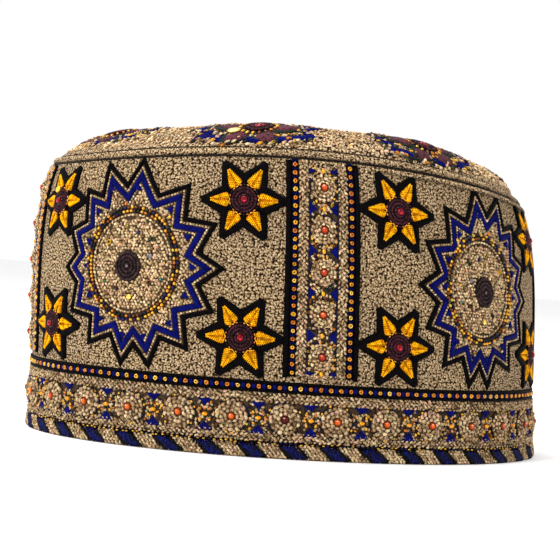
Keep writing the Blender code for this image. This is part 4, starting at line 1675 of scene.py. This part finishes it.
def knit_tube(name, centre, radius, sides, nodes):
    """Closed knit roll round the seam; centre gives its height and distance out at each station."""
    steps = 480
    station = np.arange(steps) * PERIMETER / steps
    height, out = centre(station)
    tracks = []
    for side in range(sides):
        turn = 2 * math.pi * side / sides
        swell = radius * (1.0 + 0.05 * np.sin(station * 1.9 + side))
        up, away = swell * math.sin(turn), swell * math.cos(turn)
        tracks.append(np.column_stack([station, height + up, out + away]))
    shape = Shape()
    shape.band(tracks, (1.0, 1.0, 1.0), KNIT, ring=True, turn=PERIMETER)
    angle = 2 * math.pi * np.arange(sides) / sides
    # Painted shade and highlight: each side of the roll is tinted lighter where it faces up and out
    # and darker underneath.
    lit = 0.36 + 0.95 * np.clip(np.cos(angle - 0.5), 0.0, 1.0)
    shape.tints[0] = np.repeat(lit, steps)[:, None] * np.ones(3)
    faces = len(shape.corners[0]) // 4
    row = np.repeat(np.arange(sides), faces // sides)
    arc = 2 * math.pi * radius / sides
    rise = np.stack([row, row, row + 1, row + 1], -1) * arc
    shape.corners[0][:, 1] = rise.ravel() + 200.0
    build(name, shape, level_on_wall, nodes)


def make_seam():
    """Knit roll in the seam, a fine cord below it and the dark lines of painted shade beside them.
    """
    sizes = bpy.context.scene.cap_sizes
    cord, fine = sizes.seam_cord / MM, sizes.fine_cord / MM
    knit_tube(
        "seam_cord", lambda s: (SEAM_HEIGHT + 1.55 + 0 * s, -1.5 + 0 * s), cord, 16,
        ["crown_piping"]
    )

    def sunk(station):
        """Fine cord's centre; it sinks into the cloth towards the front left."""
        phase = (station + 60.0) % PERIMETER - 60.0
        show = np.clip((phase + 8.0) / 30.0, 0.0, 1.0) * np.clip((430.0 - phase) / 40.0, 0.0, 1.0)
        return SEAM_HEIGHT - 1.6 + 0 * station, -2.4 + 2.1 * show

    knit_tube("seam_fine_cord", sunk, fine, 10, [])
    line = Shape()
    # Painted shade: dark bars in the crease under the roll, above the fine cord, and in the gap
    # above the roll under the crown's edge.
    for level, half, tint, base, top in (
        (-0.1, 0.5, paint(22, 15, 10), -1.4, -0.35), (3.2, 0.42, paint(34, 24, 15), -3.2, -1.9)
    ):
        bar(
            line, (0.0, SEAM_HEIGHT + level), (PERIMETER, SEAM_HEIGHT + level), half, tint, 480,
            base=base, top=top, slot=KNOT, ring=True
        )
    build("seam_shade_lines", line, level_on_wall, [])


class CAP_OT_cloth(bpy.types.Operator):
    """Make the wall's two halves and the crown's cloth"""

    bl_idname = "cap.cloth"
    bl_label = "Wall and Crown Cloth"

    def execute(self, context):
        left = FRONT_STATION - COLUMN_STEP
        right = FRONT_STATION + COLUMN_STEP
        make_wall_half("wall_front", left, right, ["side_band"])
        make_wall_half("wall_back", right, left + PERIMETER, [])
        make_crown_cloth()
        return {"FINISHED"}


class CAP_OT_seam(bpy.types.Operator):
    """Make the knit roll in the seam, the fine cord below it and the dark lines"""

    bl_idname = "cap.seam"
    bl_label = "Seam Cords"

    def execute(self, context):
        make_seam()
        return {"FINISHED"}


class CAP_OT_hem(bpy.types.Operator):
    """Make the hem with its slanted bars and fine beads"""

    bl_idname = "cap.hem"
    bl_label = "Hem"

    def execute(self, context):
        make_hem()
        return {"FINISHED"}


class CAP_OT_border(bpy.types.Operator):
    """Make the border of raised rounds"""

    bl_idname = "cap.border"
    bl_label = "Border"

    def execute(self, context):
        make_border()
        return {"FINISHED"}


class CAP_OT_dotted_line(bpy.types.Operator):
    """Make the dotted line above the border"""

    bl_idname = "cap.dotted_line"
    bl_label = "Dotted Line"

    def execute(self, context):
        make_dotted_line()
        return {"FINISHED"}


class CAP_OT_columns(bpy.types.Operator):
    """Make the four upright columns"""

    bl_idname = "cap.columns"
    bl_label = "Columns"

    def execute(self, context):
        for name, station in column_stations():
            make_column(name, station)
        return {"FINISHED"}


class CAP_OT_medallions(bpy.types.Operator):
    """Make the four star medallions"""

    bl_idname = "cap.medallions"
    bl_label = "Medallions"

    def execute(self, context):
        for number, (station, mirror) in enumerate(panel_stations(), start=1):
            make_medallion(number, station, mirror)
        return {"FINISHED"}


class CAP_OT_flowers(bpy.types.Operator):
    """Make the sixteen flowers of the wall and their stones"""

    bl_idname = "cap.flowers"
    bl_label = "Flowers"

    def execute(self, context):
        number = 0
        for station, _ in panel_stations():
            for side in (-1, 1):
                for height in (FLOWER_LOW, FLOWER_HIGH):
                    number += 1
                    make_flower(number, station + side * FLOWER_ACROSS, height)
        return {"FINISHED"}


class CAP_OT_crown(bpy.types.Operator):
    """Make the crown's flowers and its middle ornament"""

    bl_idname = "cap.crown"
    bl_label = "Crown Ornament"

    def execute(self, context):
        for index in range(CROWN_FLOWERS):
            make_crown_flower(index + 1, CROWN_FLOWER_PHASE + PERIMETER * index / CROWN_FLOWERS)
        make_crown_medallion()
        return {"FINISHED"}


def aim(place, target):
    """Rotation that points a light or a camera at a target."""
    return (Vector(target) - Vector(place)).to_track_quat("-Z", "Y").to_matrix().to_4x4()


class CAP_OT_stage(bpy.types.Operator):
    """Make the floor, the soft lights and the camera"""

    bl_idname = "cap.stage"
    bl_label = "Stage"

    def execute(self, context):
        scene = context.scene
        bpy.ops.mesh.primitive_circle_add(vertices=96, radius=6.0, fill_type="NGON")
        floor = context.object
        floor.name = "floor"
        recipe = Recipe("pale_floor")
        cloud = recipe.noise(recipe.node("ShaderNodeTexCoord", {}, {}, 3), 3.0)
        colour = recipe.mix(cloud, (0.88, 0.88, 0.88), (0.92, 0.92, 0.92))
        values = {"Base_Color": colour, "Roughness": 0.9, "Specular_IOR_Level": 0.1}
        values.update({"Emission_Color": (1.0, 1.0, 1.0), "Emission_Strength": 0.25})
        floor.data.materials.append(recipe.finish(**values))
        for name, place, size, power in LIGHTS:
            light = bpy.data.lights.new(name, "AREA")
            light.shape = "DISK"
            light.size = size
            light.energy = power
            lamp = bpy.data.objects.new(name, light)
            lamp.matrix_world = Matrix.Translation(place) @ aim(place, LIGHT_TARGET)
            scene.collection.objects.link(lamp)
        sky = Recipe("soft_studio", bpy.data.worlds.new("soft_studio"))
        ahead = sky.node("ShaderNodeSeparateXYZ", {}, {0: sky.node("ShaderNodeTexCoord")}, 1)
        scene.world = sky.finish(
            Color=(1.0, 1.0, 1.0), Strength=sky.stretch(ahead, -0.25, 0.4, 0.5, 1.0)
        )
        data = bpy.data.cameras.new("camera")
        data.lens = CAMERA_LENS
        data.sensor_width = CAMERA_SENSOR
        data.sensor_fit = "HORIZONTAL"
        data.clip_start = 0.01
        data.clip_end = 50.0
        camera = bpy.data.objects.new("camera", data)
        level = (
            Matrix.Rotation(CAMERA_YAW, 4, "Z")
            @ Matrix.Rotation(math.pi / 2 + CAMERA_PITCH, 4, "X")
        )
        camera.matrix_world = (
            Matrix.Translation(CAMERA_PLACE) @ level @ Matrix.Rotation(CAMERA_ROLL, 4, "Z")
        )
        scene.collection.objects.link(camera)
        scene.camera = camera
        scene.view_settings.view_transform = "Standard"
        return {"FINISHED"}


class CAP_PT_panel(bpy.types.Panel):
    """Buttons that make the cap's pieces, and its sizes and colours"""

    bl_idname = "CAP_PT_panel"
    bl_label = "Embroidered Cap"
    bl_space_type = "VIEW_3D"
    bl_region_type = "UI"
    bl_category = "Cap"

    def draw(self, context):
        for operator in OPERATORS:
            self.layout.operator(operator.bl_idname)
        for group in (context.scene.cap_sizes, context.scene.cap_colours):
            for name in group.__annotations__:
                self.layout.prop(group, name)


OPERATORS = (
    CAP_OT_stage,
    CAP_OT_cloth,
    CAP_OT_seam,
    CAP_OT_hem,
    CAP_OT_border,
    CAP_OT_dotted_line,
    CAP_OT_columns,
    CAP_OT_medallions,
    CAP_OT_flowers,
    CAP_OT_crown,
)
CLASSES = (CapColours, CapSizes, *OPERATORS, CAP_PT_panel)


def register():
    """Register the classes and the scene's settings."""
    for item in CLASSES:
        bpy.utils.register_class(item)
    bpy.types.Scene.cap_colours = bpy.props.PointerProperty(type=CapColours)
    bpy.types.Scene.cap_sizes = bpy.props.PointerProperty(type=CapSizes)


def unregister():
    """Remove them again."""
    del bpy.types.Scene.cap_sizes
    del bpy.types.Scene.cap_colours
    for item in reversed(CLASSES):
        bpy.utils.unregister_class(item)


def main():
    """Register, then make every piece in order."""
    register()
    bpy.ops.cap.stage()
    bpy.ops.cap.cloth()
    bpy.ops.cap.seam()
    bpy.ops.cap.hem()
    bpy.ops.cap.border()
    bpy.ops.cap.dotted_line()
    bpy.ops.cap.columns()
    bpy.ops.cap.medallions()
    bpy.ops.cap.flowers()
    bpy.ops.cap.crown()


if __name__ == "__main__":
    main()
